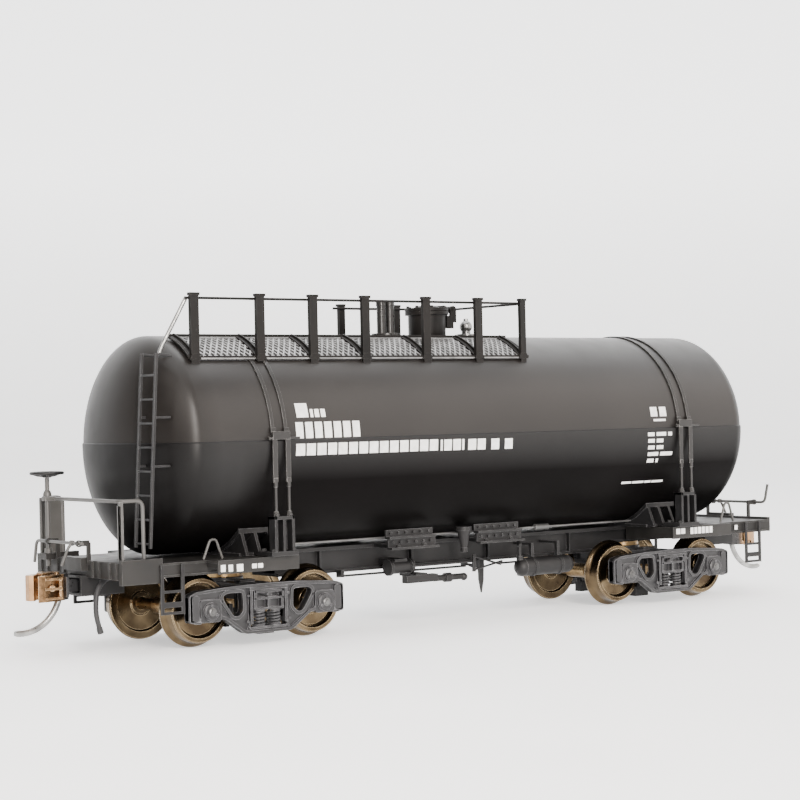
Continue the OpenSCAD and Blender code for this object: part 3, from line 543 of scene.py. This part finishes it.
def dish_profile(r, d, steps=28):
    """Half of the tank's outline from one end's middle to the other's, as [radius, x]."""
    angles = [math.pi / 2 * i / steps for i in range(steps + 1)]
    rise = [(r * math.sin(t), d * math.cos(t)) for t in angles]
    left = [(a, -SEAM_X - b) for a, b in rise]
    right = [(a, SEAM_X + b) for a, b in reversed(rise)]
    return left + right


def tank():
    piece = Piece("v_tank", "wagon", "tank_paint", TANK, ("tank_barrel", "tank_ends"), angle=40)
    profile = dish_profile(TANK_R, DISH)
    profile[0], profile[-1] = (0, profile[0][1]), (0, profile[-1][1])
    piece.lathe(profile, (0, 0, TANK_Z), "x", 192)
    piece.done()


def jacket():
    """A thin sheet round the lower half of the tank and its dishes."""
    piece = Piece("v_jacket", "wagon", "jacket_black", JACKET, ("heating_jacket",), angle=40)
    steps = 96
    outer, inner = dish_profile(JACKET_R, DISH + 0.18), dish_profile(TANK_R + 0.02, DISH + 0.02)
    cut = 0.4  # how far the sheet's edge stands above the tank's middle
    verts = []
    count = 0
    for (ro, xo), (ri, xi) in zip(outer, inner):
        if ri < cut * 1.3:
            continue
        count += 1
        for r, x in ((ro, xo), (ri, xi)):
            top = math.asin((cut if r == ri else cut - 0.14) / r)
            for k in range(steps + 1):
                t = top - (math.pi + 2 * top) * k / steps
                verts.append((x, r * math.cos(t), TANK_Z + r * math.sin(t)))
    row = 2 * (steps + 1)
    faces = []
    for i in range(count - 1):
        for k in range(steps):
            a = i * row + k
            faces.append((a, a + 1, a + 1 + row, a + row))
            b = a + steps + 1
            faces.append((b, b + row, b + row + 1, b + 1))
        for k in (0, steps):
            a = i * row + k
            faces.append((a, a + row, a + row + steps + 1, a + steps + 1))
    # the two ends close with flat middles, outside and inside
    for i in (0, count - 1):
        first = i * row
        faces.append(tuple(first + k for k in range(steps + 1)))
        faces.append(tuple(first + steps + 1 + k for k in range(steps + 1)))
        faces.append((first, first + steps, first + 2 * steps + 1, first + steps + 1))
    piece.add(verts, faces)
    piece.done()


def straps():
    bands = stand_in("strap_bands", STRAP, 0.04)
    for end in (-1, 1):
        for off in (-STRAP_OFF, STRAP_OFF):
            x = end * STRAP_X + off
            bands.arc(x - 0.3, x + 0.3, TANK_R + 0.02, TANK_R + 0.25, 6.5, 173.5, 96)
    bands.done()

    rods = stand_in("strap_tie_rods", STRAP, 0.04)
    feet = stand_in("strap_brackets", FRAME, 0.07)
    y = TANK_R + 0.05
    rod_y = JACKET_R + 0.39
    back, front = 15.45, 17.42  # a foot's depth, from the tank outward
    low, high = 13.95, 19.1
    wide = 1.75
    for side in (STILL, OTHER_SIDE):
        for end in (-1, 1):
            rods.place = feet.place = side @ Matrix.Translation((end * STRAP_X, 0, 0))
            rods.block((-1.5, y, 30.35), (1.5, y + 0.7, 31.55))
            rods.rod((-1.9, y + 0.5, 30.55), (3.3, y + 0.5, 30.55), 0.17)
            rods.bolt((-1.9, y + 0.5, 30.55), "-x", 0.3, 0.22)
            for off in (-STRAP_OFF, STRAP_OFF):
                rods.block((off - 0.42, y - 0.02, 31.4), (off + 0.42, y + 0.3, 32.1))
                rods.block((off - 0.42, rod_y - 0.14, 24.1), (off + 0.42, rod_y + 0.16, 30.4))
                rods.rod((off, rod_y + 0.02, 23.4), (off, rod_y + 0.02, 24.7), 0.34)
                rods.rod((off, rod_y + 0.02, 18.6), (off, rod_y + 0.02, 23.6), 0.24)
                rods.bolt((off, rod_y + 0.02, 19.15), "z", 0.48, 0.42)
                rods.bolt((off, rod_y + 0.02, 19.6), "z", 0.4, 0.25)
            feet.block((-wide, back, low), (-1.3, front, high))
            feet.block((1.3, back, low), (wide, front, high))
            feet.block((-wide, back, low), (wide, back + 0.45, high))
            feet.block((-0.22, 15.6, low), (0.22, 17.3, 18.7))
            feet.block((-wide, back, high - 0.5), (wide, front, high))
            feet.block((-2.3, 13.4, 13.27), (2.3, front, low))
            for off in (-wide, wide):
                feet.bolt((off, 14.3, low), "z", 0.42, 0.42)
                feet.bolt((off * 1.05, 16.9, low), "z", 0.3, 0.35)
    rods.done()
    feet.done()


# ---- ends -----------------------------------------------------------------------------------

def railing():
    piece = stand_in("end_railing", GREY, 0.05)
    x, y = -HALF_FRAME + 0.4, HALF_WIDTH - 0.55
    low = DECK_Z + 0.77
    back = x + 3.6
    piece.wire([(back, y, DECK_Z + 0.8), (back, y, RAIL_TOP), (x, y, RAIL_TOP), (x, -y, RAIL_TOP),
                (back, -y, RAIL_TOP), (back, -y, DECK_Z + 0.8)], 0.29, bend=1.1)
    piece.wire([(x, y, low), (x, y, RAIL_TOP)], 0.3)
    piece.block((x - 0.3, -y - 0.28, low), (x + 0.3, -y + 0.22, RAIL_TOP - 0.1))
    piece.block((x - 0.3, -y - 0.28, low), (x - 0.1, -y + 0.5, RAIL_TOP - 0.6))
    # the plate that closes the far corner, behind the hand wheel's shaft
    piece.prism(rectangle(x + 0.1, low, x + 3.5, RAIL_TOP - 0.1), "y", y - 0.12, y + 0.12)
    # the lug that steadies the shaft
    lug = rectangle(HAND_WHEEL_X - 0.75, HAND_WHEEL_Y - 0.6, x + 0.2, HAND_WHEEL_Y + 0.6)
    bore = circle(0.42, 20, (HAND_WHEEL_X, HAND_WHEEL_Y), turn=-1)
    piece.prism(soft_corners(lug, 0.3), "z", RAIL_TOP - 0.3, RAIL_TOP + 0.3, holes=[bore])
    piece.done()


def ladder():
    piece = stand_in("end_ladder", FRAME, 0.05)
    lean = math.radians(3.4)
    middle_x, middle_z = -60.8, 29.4
    place = Matrix.Translation((middle_x, 0, middle_z)) @ Matrix.Rotation(lean, 4, "Y")
    y_lo, y_hi = -13.2, -9
    low, top = 15.3 - middle_z, 43.2 - middle_z
    for y in (y_lo, y_hi):
        piece.place = place
        piece.block((-0.2, y - 0.24, low), (0.2, y + 0.24, top))
        piece.wire([(0, y, top - 0.5), (0.2, y, top - 0.1), (2.55, y, top - 0.22)], 0.2, bend=0.5)
        piece.place = STILL
        for z in (27, 34):
            stile = middle_x + (z - middle_z) * math.tan(lean)
            across = math.hypot(y, z - TANK_Z) / (JACKET_R if z < 30 else TANK_R)
            skin = -SEAM_X - DISH * math.sqrt(1 - across * across) - 0.3
            piece.block((stile, y - 0.2, z - 0.16), (skin, y + 0.2, z + 0.16))
    piece.place = place
    for i in range(8):
        z = low + 0.6 + 3.45 * i
        piece.rod((0, y_lo - 0.1, z), (0, y_hi + 0.1, z), 0.17, sides=12)
    piece.rod((2.35, y_lo, top - 0.25), (2.35, y_hi, top - 0.25), 0.17, sides=12)
    piece.done()


def hoops():
    piece = stand_in("grab_hoops", GREY)
    y = HALF_WIDTH - 0.4
    for side in (STILL, OTHER_SIDE):
        for x, top in ((-50.8, 16), (55.6, 16.5)):
            piece.place = side @ Matrix.Translation((x, 0, 0))
            piece.wire([(-1.6, y, DECK_Z + 0.1), (-0.45, y, top), (0.55, y, top), (1.6, y, DECK_Z + 0.1)],
                       0.2, bend=0.6)
    piece.done()


def hand_wheel():
    x, y, z = HAND_WHEEL_X, HAND_WHEEL_Y, 25.3
    wheel = stand_in("handbrake_wheel", FRAME, 0.03)
    rim, spokes = 2.3, 5
    angles = [2 * math.pi * k / 16 for k in range(16)]
    wheel.lathe([(rim + 0.27 * math.cos(t), 0.72 + 0.24 * math.sin(t)) for t in angles], (x, y, z), "z", 72)
    wheel.lathe([(0, 0.05), (0.62, 0.05), (0.62, 0.5), (0.45, 0.78), (0.2, 0.86), (0, 0.88)],
                (x, y, z), "z", 32)
    for i in range(spokes):
        t = 2 * math.pi * i / spokes
        path = [(x + r * math.cos(t), y + r * math.sin(t), z + rise) for r, rise in
                ((0.4, 0.32), (1.4, 0.38), (rim, 0.7))]
        wheel.sweep(path, [0.24, 0.17, 0.2], 10)
    wheel.done()
    shaft = stand_in("handbrake_shaft", GREY, 0.03)
    shaft.lathe([(0, 12.2), (0.35, 12.2), (0.35, 14.15), (0.58, 14.15), (0.58, 14.85), (0.34, 14.85),
                 (0.34, 22.56), (0.64, 22.56), (0.64, 22.9), (0.5, 23.3), (0.33, 23.5), (0.33, 25.32),
                 (0, 25.32)], (x, y, 0), "z", 32)
    shaft.done()


def pins_and_levers():
    """A wire that hangs in an arc under each coupler, and a lever whose handle is up at the plain end."""
    x, z = LEVER_X, LEVER_Z
    for name, place in ends():
        pin = stand_in("trip_pin_" + name, BRIGHT)
        pin.place = place
        angles = [math.radians(a) for a in range(196, 281, 4)]
        path = [(75.5 + 6.2 * math.cos(t), 0, 9.6 + 6.2 * math.sin(t)) for t in angles]
        pin.sweep(path, [0.47] * (len(path) - 1) + [0.36], 16)
        pin.done()
        lever = stand_in("uncoupling_lever_" + name, GREY)
        lever.place = place
        handle = z + (3.3 if name == "plain_end" else -3.3)
        lever.wire([(x, 4.2, z), (x, -10.2, z), (x, -11, handle)], 0.24, bend=0.9)
        lever.wire([(x, 1, z), (x + 0.5, 0.9, z - 0.6), (x + 1.45, 0.5, 12.75)], 0.22)
        lever.lathe(rectangle(0.2, -0.3, 0.4, 0.3), (x, 1, z), "y", 16)
        lever.done()


def brake_hoses():
    hose = stand_in("brake_hoses", HOSE)
    for _, place in ends():
        hose.place = place
        path = rounded([(64.3, 4.7, 10.9), (66.25, 5.6, 9.3), (66.85, 6.1, 6.2), (66, 6, 3.1)], 1.8, 10)
        hose.sweep(path, [0.36 + 0.02 * (i % 2) for i in range(len(path))], 16)
        hose.rod((62.6, 4, 11.25), (64.7, 4.85, 10.75), 0.52)
        hose.rod((64.3, 4.7, 10.88), (65.1, 5.06, 10.3), 0.46)
        hose.rod((66.22, 6.02, 3.9), (65.98, 5.99, 3.1), 0.45)
        hose.block((62.2, 3.3, 10.9), (63.2, 4.6, 12.55))
    hose.done()


# ---- walkway --------------------------------------------------------------------------------

def walkway_net():
    """Expanded metal: two crossing sets of slanting strands laid on the shoulder of the tank."""
    piece = stand_in("walkway_mesh", MESH, angle=60)
    r = TANK_R + 0.3
    pitch = 1.0
    width = 0.14
    lo_y, hi_y = 5.25, 10.95
    a_hi, a_lo = math.acos(lo_y / r), math.acos(hi_y / r)
    length = r * (a_hi - a_lo)

    def strand(x0, x1, s0, s1, side, lift):
        """One strand, from x0 to x1 along the tank and from s0 to s1 up its shoulder."""
        steps = 5
        verts = []
        for i in range(steps + 1):
            t = i / steps
            x, s = x0 + (x1 - x0) * t, s0 + (s1 - s0) * t
            for dx, dr in rectangle(-width, 0, width, 0.14):
                point = on_barrel(x + dx, r + dr + lift, a_lo + s / r)
                verts.append((point[0], side * point[1], point[2]))
        piece.add(verts, square_tube(steps + 1))

    slope = 0.62
    for side, lo, hi in ((-1, WALK_LO + 0.5, WALK_HI - 0.9), (1, -12, WALK_HI - 0.9)):
        run = length * slope
        count = int((hi - lo + run) / pitch)
        for i in range(count + 1):
            for lean in (1, -1):
                x0 = lo - run + i * pitch if lean > 0 else lo + i * pitch
                x1 = x0 + lean * run
                s0, s1 = 0.0, length
                # a strand that crosses an end of the net stops there
                for edge in (lo, hi):
                    if (x0 - edge) * (x1 - edge) < 0:
                        cut = (edge - x0) / (x1 - x0) * length
                        if lo <= x0 <= hi:
                            s1 = min(s1, cut)
                        else:
                            s0 = max(s0, cut)
                start = x0 + (x1 - x0) * s0 / length
                stop = x0 + (x1 - x0) * s1 / length
                if s1 - s0 > 0.15 and lo - 0.01 <= min(start, stop) and max(start, stop) <= hi + 0.01:
                    strand(start, stop, s0, s1, side, 0.04 if lean > 0 else 0.0)
        for s in (0.0, length):
            _, y, z = on_barrel(0, r + 0.08, a_lo + s / r)
            piece.rod((lo, side * y, z), (hi, side * y, z), 0.16, sides=8)
    piece.done()


def walkway_frame():
    """Bars along the top and the foot of the net, and a band over the tank's shoulder at every post."""
    piece = stand_in("walkway_frame", BLACK, 0.04)
    near_posts = (-52.3, -40.9, -31.3, -21.5, -9.6, 1, 10.3)
    far_posts = (-10.5, 1, 10.3)
    for place, lo, posts in ((STILL, WALK_LO, near_posts), (OTHER_SIDE, FAR_WALK_LO, far_posts)):
        piece.place = place
        piece.block((lo, -5.2, 45.75), (WALK_HI, -4.75, 46.29))
        piece.block((lo, -11.05, 42.45), (WALK_HI, -10.75, 42.85))
        for x in posts:
            piece.arc(x - 0.75, x + 0.75, TANK_R + 0.3, TANK_R + 0.62, 106, 131)
            piece.arc(x - 0.12, x + 0.12, TANK_R + 0.6, TANK_R + 0.95, 107, 129)
            foot = [(x - 0.55, 43.2), (x + 0.55, 43.2), (x + 1.0, 42.3), (x - 1.0, 42.3)]
            piece.prism(foot, "y", -11.4, -11.1)
        for x in (lo + 0.1, WALK_HI - 0.25):
            piece.arc(x - 0.12, x + 0.12, TANK_R + 0.25, TANK_R + 0.6, 106, 131)
    piece.done()


def handrails():
    piece = stand_in("handrails", BLACK)
    y, z = 10.43, 51.35
    piece.wire([(-53.4, -y, z), (WALK_HI, -y, z), (WALK_HI, y, z), (-12.5, y, z)], 0.2, bend=0.5)
    piece.done()
    rod = stand_in("grab_rod", BRIGHT)
    rod.wire([(-56.9, -8.7, 43.3), (-56.5, -8.65, 44.2), (-52.8, -9.8, 51.5)], 0.3, bend=0.6)
    rod.done()


# ---- bogies ---------------------------------------------------------------------------------

# Half of a side frame's outline as [x, z], from its top middle down to its foot
HALF_OUTLINE = [(-6, 9), (-12.2, 8.6), (-13.55, 8.1), (-13.55, 4.1), (-12.3, 3.85), (-11.6, 3.85), (-11.4, 4.9),
                (-8.6, 4.9), (-8.2, 4.3), (-7.4, 4.2), (-4.6, 2.15), (-3.9, 1.8)]
OUTLINE = [(0, 9.1)] + HALF_OUTLINE + [(-x, z) for x, z in reversed(HALF_OUTLINE)]
WINDOW = [(4.5, 8.0), (4.35, 5.3), (5.25, 4.45), (6.1, 4.6), (7.5, 6.6), (7.9, 7.5), (7.3, 8.0)]
MIDDLE = [(-2.9, 8.1), (-2.9, 3.6), (-3.3, 2.75), (3.3, 2.75), (2.9, 3.6), (2.9, 8.1)]


def side_frame(piece, caps, place):
    piece.place = caps.place = place
    right = soft_corners(WINDOW, 0.5)
    left = [Vector((-p.x, p.y)) for p in reversed(right)]
    middle = soft_corners(MIDDLE, 0.25)
    outline = soft_corners(OUTLINE, 0.35)
    piece.prism(outline, "y", 11.45, 12.45, holes=[right, left, middle])
    # raised rims round the outline and the windows
    piece.prism(outline, "y", 11.3, 12.88, holes=[grown(outline, -0.42)])
    for hole, rim in ((right, 0.48), (left, 0.48), (middle, 0.35)):
        piece.prism(grown(hole, rim), "y", 11.35, 12.8, holes=[hole])
    for x in (-HALF_BASE, HALF_BASE):
        away = 1 if x > 0 else -1
        # bearing housing with its round cap and bolts
        piece.prism(soft_corners(rectangle(x - 1.75, 4.0, x + 1.75, 7.3), 0.5), "y", 11.1, 12.95)
        piece.lathe([(0, 12.8), (1.32, 12.8), (1.32, 13.3), (1.12, 13.44), (0.55, 13.44), (0.45, 13.58),
                     (0, 13.6)], (x, 0, AXLE_Z), "y", 40)
        caps.lathe([(0, 13.4), (0.62, 13.4), (0.62, 13.52), (0.42, 13.62), (0.34, 13.78), (0, 13.8)],
                   (x, 0, AXLE_Z), "y", 32)
        for k in range(3):
            t = math.radians(90 + 120 * k)
            piece.bolt((x + 0.85 * math.cos(t), 13.42, AXLE_Z + 0.85 * math.sin(t)), "y", 0.19, 0.14)
        # box-shaped frame end
        box = rectangle(x + away * 1.9, 4.2, x + away * 3.4, 8.0)
        piece.prism(soft_corners(box, 0.3), "y", 12.3, 12.88)
        piece.bolt((x - away * 2.05, 12.4, 6.9), "y", 0.3, 0.4, 12)
    # bolster pocket: ledges, stops and spring plank
    piece.block((-3.5, 11.2, 2.45), (3.5, 13.05, 2.72))
    piece.block((-3.3, 11.3, 8.2), (3.3, 12.95, 8.6))
    for x in (-1, 1):
        piece.block((x * 3.05 - 0.2, 12.3, 3.2), (x * 3.05 + 0.2, 13.0, 8.2))
        piece.bolt((x * 3.55, 12.8, 7.4), "y", 0.24, 0.2)
        piece.bolt((x * 3.65, 12.8, 3.6), "y", 0.24, 0.2)


def spring(piece, x, y, low, high):
    """A coil round a peg, between two discs."""
    turns, steps, coil_r = 4.5, 14, 0.82
    total = int(turns * steps)
    path = []
    for i in range(total + 1):
        t = 2 * math.pi * i / steps
        z = low + 0.2 + (high - low - 0.4) * i / total
        path.append((x + coil_r * math.cos(t), y + coil_r * math.sin(t), z))
    piece.sweep(path, 0.19, 8)
    piece.rod((x, y, low), (x, y, high), 0.42, sides=12)
    for z in (low, high - 0.16):
        piece.rod((x, y, z), (x, y, z + 0.16), 1.02)


def bolster(beam, place):
    """The cross beam, whose two ends are channels that the springs carry."""
    beam.place = place
    bore = circle(1.1, 32, turn=-1)
    beam.prism(rectangle(-2.7, -9, 2.7, 9), "z", 6.52, 8.88, holes=[bore])
    beam.prism(circle(3.2, 64), "z", 8.7, 9.36, holes=[bore])
    for side in (STILL, OTHER_SIDE):
        beam.place = place @ side
        # the pad at each side, clear of the body above it
        beam.block((-1.3, 5.4, 8.6), (1.3, 7.2, 9.3))
        # the channel, with a slanting rib across its window
        beam.block((-2.6, 8.9, 7.72), (2.6, 13.1, 8.08))
        beam.block((-2.6, 8.9, 6.72), (2.6, 13.1, 7.02))
        beam.block((-2.6, 8.9, 6.72), (2.6, 12.2, 8.08))
        beam.block((-2.6, 11.25, 5.2), (2.6, 12.2, 6.8))
        beam.block((-2.6, 11.25, 5.2), (2.6, 13.0, 5.5))
        for x in (-2.4, 0, 2.4):
            beam.block((x - 0.2, 12, 5.2), (x + 0.2, 12.95, 6.9))
        for x in (-2.45, 2.45):
            beam.block((x - 0.18, 12, 6.72), (x + 0.18, 13.1, 8.08))
        beam.sweep([(-1.2, 12.6, 7.0), (1.3, 12.6, 7.75)], 0.22, 8)
        beam.block((-0.5, 12, 7.0), (0.1, 12.9, 7.75))
        for x in (-1.9, 1.9):
            beam.bolt((x, 12.2, 7.4), "y", 0.26, 0.3)


def bogies():
    for name, place in ends():
        at = place @ Matrix.Translation((PIVOT_X, 0, 0))
        frames = stand_in("side_frames_" + name, CAST, 0.09)
        caps = Piece("v_bearing_caps_" + name, "bogie_" + name, "bogie_grey", PIPE)
        for side in (STILL, OTHER_SIDE):
            side_frame(frames, caps, at @ side)
        frames.done()
        caps.done()
        coils = stand_in("springs_" + name, CAST, 0.03)
        coils.place = at
        for y in (-12.1, 12.1):
            for x in (-1.35, 1.35):
                spring(coils, x, y, 2.74, 5.18)
        coils.done()
        beam = stand_in("bogie_bolster_" + name, CAST, 0.08)
        bolster(beam, at)
        beam.done()


# A wheel's section as [radius, distance outward from the back of the flange]
WHEEL_SECTION = [(1, 0.1), (1.7, 0.1), (1.9, 0.35), (4.1, 0.4), (4.35, 0.05), (5.1, 0), (5.4, 0.06),
                 (5.52, 0.22), (5.55, 0.4), (5.47, 0.58), (5.15, 0.82), (4.98, 1.0), (4.9, 1.25), (4.82, 2.3),
                 (4.78, 2.6), (4.65, 2.73), (4.5, 2.75), (4.12, 2.75), (4.0, 2.62), (3.9, 2.1), (3.7, 1.95),
                 (2.3, 1.85), (2.05, 1.95), (1.95, 2.5), (1.85, 2.6), (1, 2.6)]
# Half of an axle as [radius, distance from its middle], from the journal inward
HALF_AXLE = [(0.6, 12.2), (0.6, 9.95), (1, 9.93), (1, 7.2), (0.86, 6.9), (0.86, 2.6), (1.25, 2.35)]
FLANGE_BACK = 7.2


def wheelsets():
    axle_x = [-PIVOT_X - HALF_BASE, -PIVOT_X + HALF_BASE, PIVOT_X - HALF_BASE, PIVOT_X + HALF_BASE]
    outline = [(0, -12.2)] + [(r, -d) for r, d in HALF_AXLE]
    outline += [(r, d) for r, d in reversed(HALF_AXLE)] + [(0, 12.2)]
    for i, x in enumerate(axle_x):
        wheels = stand_in(f"wheels_{i + 1}", WHEEL, angle=30)
        for side in (STILL, OTHER_SIDE):
            wheels.place = side
            wheels.lathe(WHEEL_SECTION, (x, FLANGE_BACK, AXLE_Z), "y", 96)
        wheels.done()
        axle = stand_in(f"axle_{i + 1}", GOLD, angle=30)
        axle.lathe(outline, (x, 0, AXLE_Z), "y", 48)
        axle.done()


# ---- couplers -------------------------------------------------------------------------------

def couplers():
    for name, place in ends():
        refine("coupler_" + name, HEAD, 0.12)
        refine("knuckle_" + name, BRASS, 0.16)
        cast = Piece("v_coupler_ribs_" + name, NODE_BODY["coupler_" + name], "coupler_black", HEAD, bevel=0.1)
        cast.place = place
        for z in (8.2, 9.55, 10.95):
            cast.block((70.5, 2.2, z), (73.3, 3.4, z + 0.4))
        cast.block((69.0, 1.1, 8.3), (69.5, 2.4, 11.3))
        cast.block((70.5, 2.2, 8.2), (70.95, 3.2, 11.35))
        cast.rod((72.1, 2.4, 9.85), (72.1, 3.3, 9.85), 0.5)
        cast.block((69.4, -1.1, 11.55), (72.4, 0.5, 11.95))
        cast.bolt((70.5, 1.4, 11.65), "z", 0.45, 0.4, 12)
        cast.bolt((71.3, -1.75, 11.6), "z", 0.5, 0.35, 16)
        cast.done()


# ---- markings -------------------------------------------------------------------------------

def markings():
    """Plain white bars in rows on the tank and along the sills."""
    piece = Piece("v_markings", "wagon", NODE_SLOT["tank_barrel"], WHITE)

    def on_tank(x0, x1, z0, z1):
        """One bar, bent to the tank or to the sheet round its lower half."""
        steps = 4
        radius = TANK_R if z0 > 30.3 else JACKET_R
        verts = []
        for i in range(steps + 1):
            z = z0 + (z1 - z0) * i / steps
            t = math.pi - math.asin((z - TANK_Z) / radius)
            verts += [on_barrel(x, r, t) for x, r in rectangle(x0, radius + 0.004, x1, radius + 0.02)]
        piece.add(verts, square_tube(steps + 1))

    def row(x, z0, z1, widths, gap):
        """Bars side by side, from x on."""
        for w in widths:
            on_tank(x, x + w, z0, z1)
            x += w + gap

    row(-37.9, 33.5, 35.6, (2.1,), 0)
    row(-35.4, 33.5, 34.7, (0.5, 0.8, 0.8), 0.3)
    row(-38.3, 30.4, 32.8, (1.3,) * 7, 0.42)
    row(-38.5, 27.85, 29.6, (1.6,) * 14, 0.32)
    row(-11.4, 27.8, 29.5, (0.4, 1.5, 1.5, 0.4), 0.3)
    row(-5.9, 27.75, 29.45, (1.6, 1.6), 0.32)
    row(-1.2, 27.7, 29.4, (1.6,), 0)
    row(1.6, 27.7, 29.35, (1.6,), 0)
    row(34.1, 32.2, 33.8, (1.5, 1.5), 0.6)
    row(34.6, 31.4, 31.75, (2.8,), 0)
    for i, widths in enumerate(((1.5, 2.2, 0.9), (1.5, 1.5), (1.5, 1.5), (2.4, 2.8), (1.5, 0.5))):
        z = 28.9 - 1.12 * i
        row(33.0 + 0.1 * i, z, z + 0.62, widths, 0.5)
    row(29.0, 20.95, 21.3, (2.2, 2.6, 1.4, 2.6), 0.25)
    # on the sills, each width is cut into bars about a millimetre wide
    for x, w, z0, z1 in ((-52.0, 1.0, 11.55, 12.55), (-50.7, 0.95, 11.5, 12.5), (-49.3, 1.3, 11.45, 12.5),
                         (-46.7, 2.1, 11.75, 12.4), (39.1, 2.3, 12.0, 12.9), (42.5, 5.5, 11.85, 12.95)):
        parts = max(1, round(w / 0.95))
        for k in range(parts):
            a = x + k * w / parts
            piece.block((a, -16.52, z0), (a + w / parts - 0.22, -16.49, z1))
    piece.block((56.9, -13.06, 11.7), (57.6, -13.03, 12.5))
    piece.done()


# ---- everything else ------------------------------------------------------------------------

for node, material, bevel in (
    ("ballast_weight", STEEL, 0.2), ("saddles", FRAME, 0.05), ("centre_sill", FRAME, 0.06),
    ("end_platforms", DECK, 0.07), ("body_bolsters", DECK, 0.1), ("kingpins", BRONZE, 0.05),
    ("side_bearers", FRAME, 0.05), ("outlet_pipes", FRAME, 0.04), ("brake_cylinder", FRAME, 0.06),
    ("brake_rods", FRAME, 0.03), ("control_valve", FRAME, 0.06), ("air_reservoir", FRAME, 0.05),
    ("train_pipe", PIPE, 0.0), ("stirrup_steps", FRAME, 0.05),
    ("walkway_posts", BLACK, 0.06), ("manway_neck", BLACK, 0.06), ("manway_hinge", BLACK, 0.04),
    ("manway_lid", BLACK, 0.06), ("top_fittings", FITTINGS, 0.05), ("draft_boxes", FRAME, 0.08),
    ("brake_gear_brake_end", FRAME, 0.05), ("brake_gear_plain_end", FRAME, 0.05),
):
    refine(node, material, bevel)

tank()
jacket()
straps()
railing()
ladder()
hoops()
hand_wheel()
pins_and_levers()
brake_hoses()
walkway_net()
walkway_frame()
handrails()
bogies()
wheelsets()
couplers()
markings()


# ---- camera, floor and light ----------------------------------------------------------------

def camera():
    """Low beside the hand wheel end, nearly level, and tilted a little about its own line of sight."""
    data = bpy.data.cameras.new("camera")
    data.sensor_width = 36
    data.lens = 91.28
    data.shift_y = 0.0167
    data.clip_start, data.clip_end = 0.01, 20
    cam = bpy.data.objects.new("camera", data)
    pitch, roll = -0.159, -1.253
    turn = (Matrix.Rotation(math.radians(-HEADING), 4, "Z") @ Matrix.Rotation(math.radians(90 + pitch), 4, "X")
            @ Matrix.Rotation(math.radians(roll), 4, "Z"))
    cam.matrix_world = Matrix.Translation(Vector((-205.72, -265.73, 34.62)) * MM) @ turn
    bpy.context.scene.collection.objects.link(cam)
    bpy.context.scene.camera = cam


def backdrop():
    """A pale floor that curves up into a wall behind the wagon."""
    material, tree, shader, place = new_material("paper")
    speckle = noise(tree, place, 40, 3.0)
    tree.links.new(blend(tree, spread(tree, speckle, 0.3, 0.7, 0, 1), (0.86, 0.86, 0.86), (0.9, 0.9, 0.9)),
                   shader.inputs["Base Color"])
    shader.inputs["Roughness"].default_value = 0.9
    shader.inputs["Specular IOR Level"].default_value = 0.1
    shader.inputs["Emission Color"].default_value = (1, 1, 1, 1)
    _, _, up = parts_of(tree, place)
    tree.links.new(spread(tree, up, 0.0, 0.2, 0.75, 2.4), shader.inputs["Emission Strength"])
    # in metres: flat floor, quarter circle, wall
    near, back, bend, top = -2.0, 0.5, 0.8, 3.0
    angles = [math.pi / 2 * k / 24 for k in range(1, 25)]
    section = [(near, 0.0), (back, 0.0)]
    section += [(back + bend * math.sin(a), bend - bend * math.cos(a)) for a in angles]
    section += [(back + bend, top)]
    turn = Matrix.Rotation(math.radians(-HEADING), 4, "Z")
    mesh = bmesh.new()
    rows = [[mesh.verts.new(turn @ Vector((x, y, z))) for x in (-3.0, 3.0)] for y, z in section]
    for a, b in zip(rows, rows[1:]):
        mesh.faces.new((a[0], a[1], b[1], b[0]))
    data = bpy.data.meshes.new("backdrop")
    mesh.to_mesh(data)
    mesh.free()
    data.polygons.foreach_set("use_smooth", [True] * len(data.polygons))
    data.materials.append(material)
    paper = bpy.data.objects.new("backdrop", data)
    bpy.context.scene.collection.objects.link(paper)


def lamp(name, at, size, power, colour=(1, 1, 1)):
    """A soft rectangular light, placed in metres and aimed at the middle of the wagon."""
    data = bpy.data.lights.new(name, "AREA")
    data.shape = "RECTANGLE"
    data.size, data.size_y = size
    data.energy = power
    data.color = colour
    light = bpy.data.objects.new(name, data)
    light.location = at
    light.rotation_mode = "QUATERNION"
    light.rotation_quaternion = (Vector((0, 0, 0.025)) - Vector(at)).to_track_quat("-Z", "Y")
    bpy.context.scene.collection.objects.link(light)


def world():
    sky = bpy.data.worlds.new("studio")
    sky.use_nodes = True
    tree = sky.node_tree
    shade = tree.nodes["Background"]
    shade.inputs["Color"].default_value = (1, 1, 1, 1)
    shade.inputs["Strength"].default_value = 0.12
    bpy.context.scene.world = sky


camera()
backdrop()
world()
WARM = (1.0, 0.93, 0.87)
lamp("right softbox", (0.48, -0.52, 0.35), (0.9, 0.7), 5.5, colour=WARM)
lamp("left softbox", (-0.5, -0.2, 0.34), (0.5, 0.4), 2.0, colour=WARM)
lamp("left front", (-0.25, -0.6, 0.25), (0.14, 0.5), 9.0, colour=WARM)
lamp("overhead", (0.0, 0.05, 0.75), (1.0, 0.6), 6)
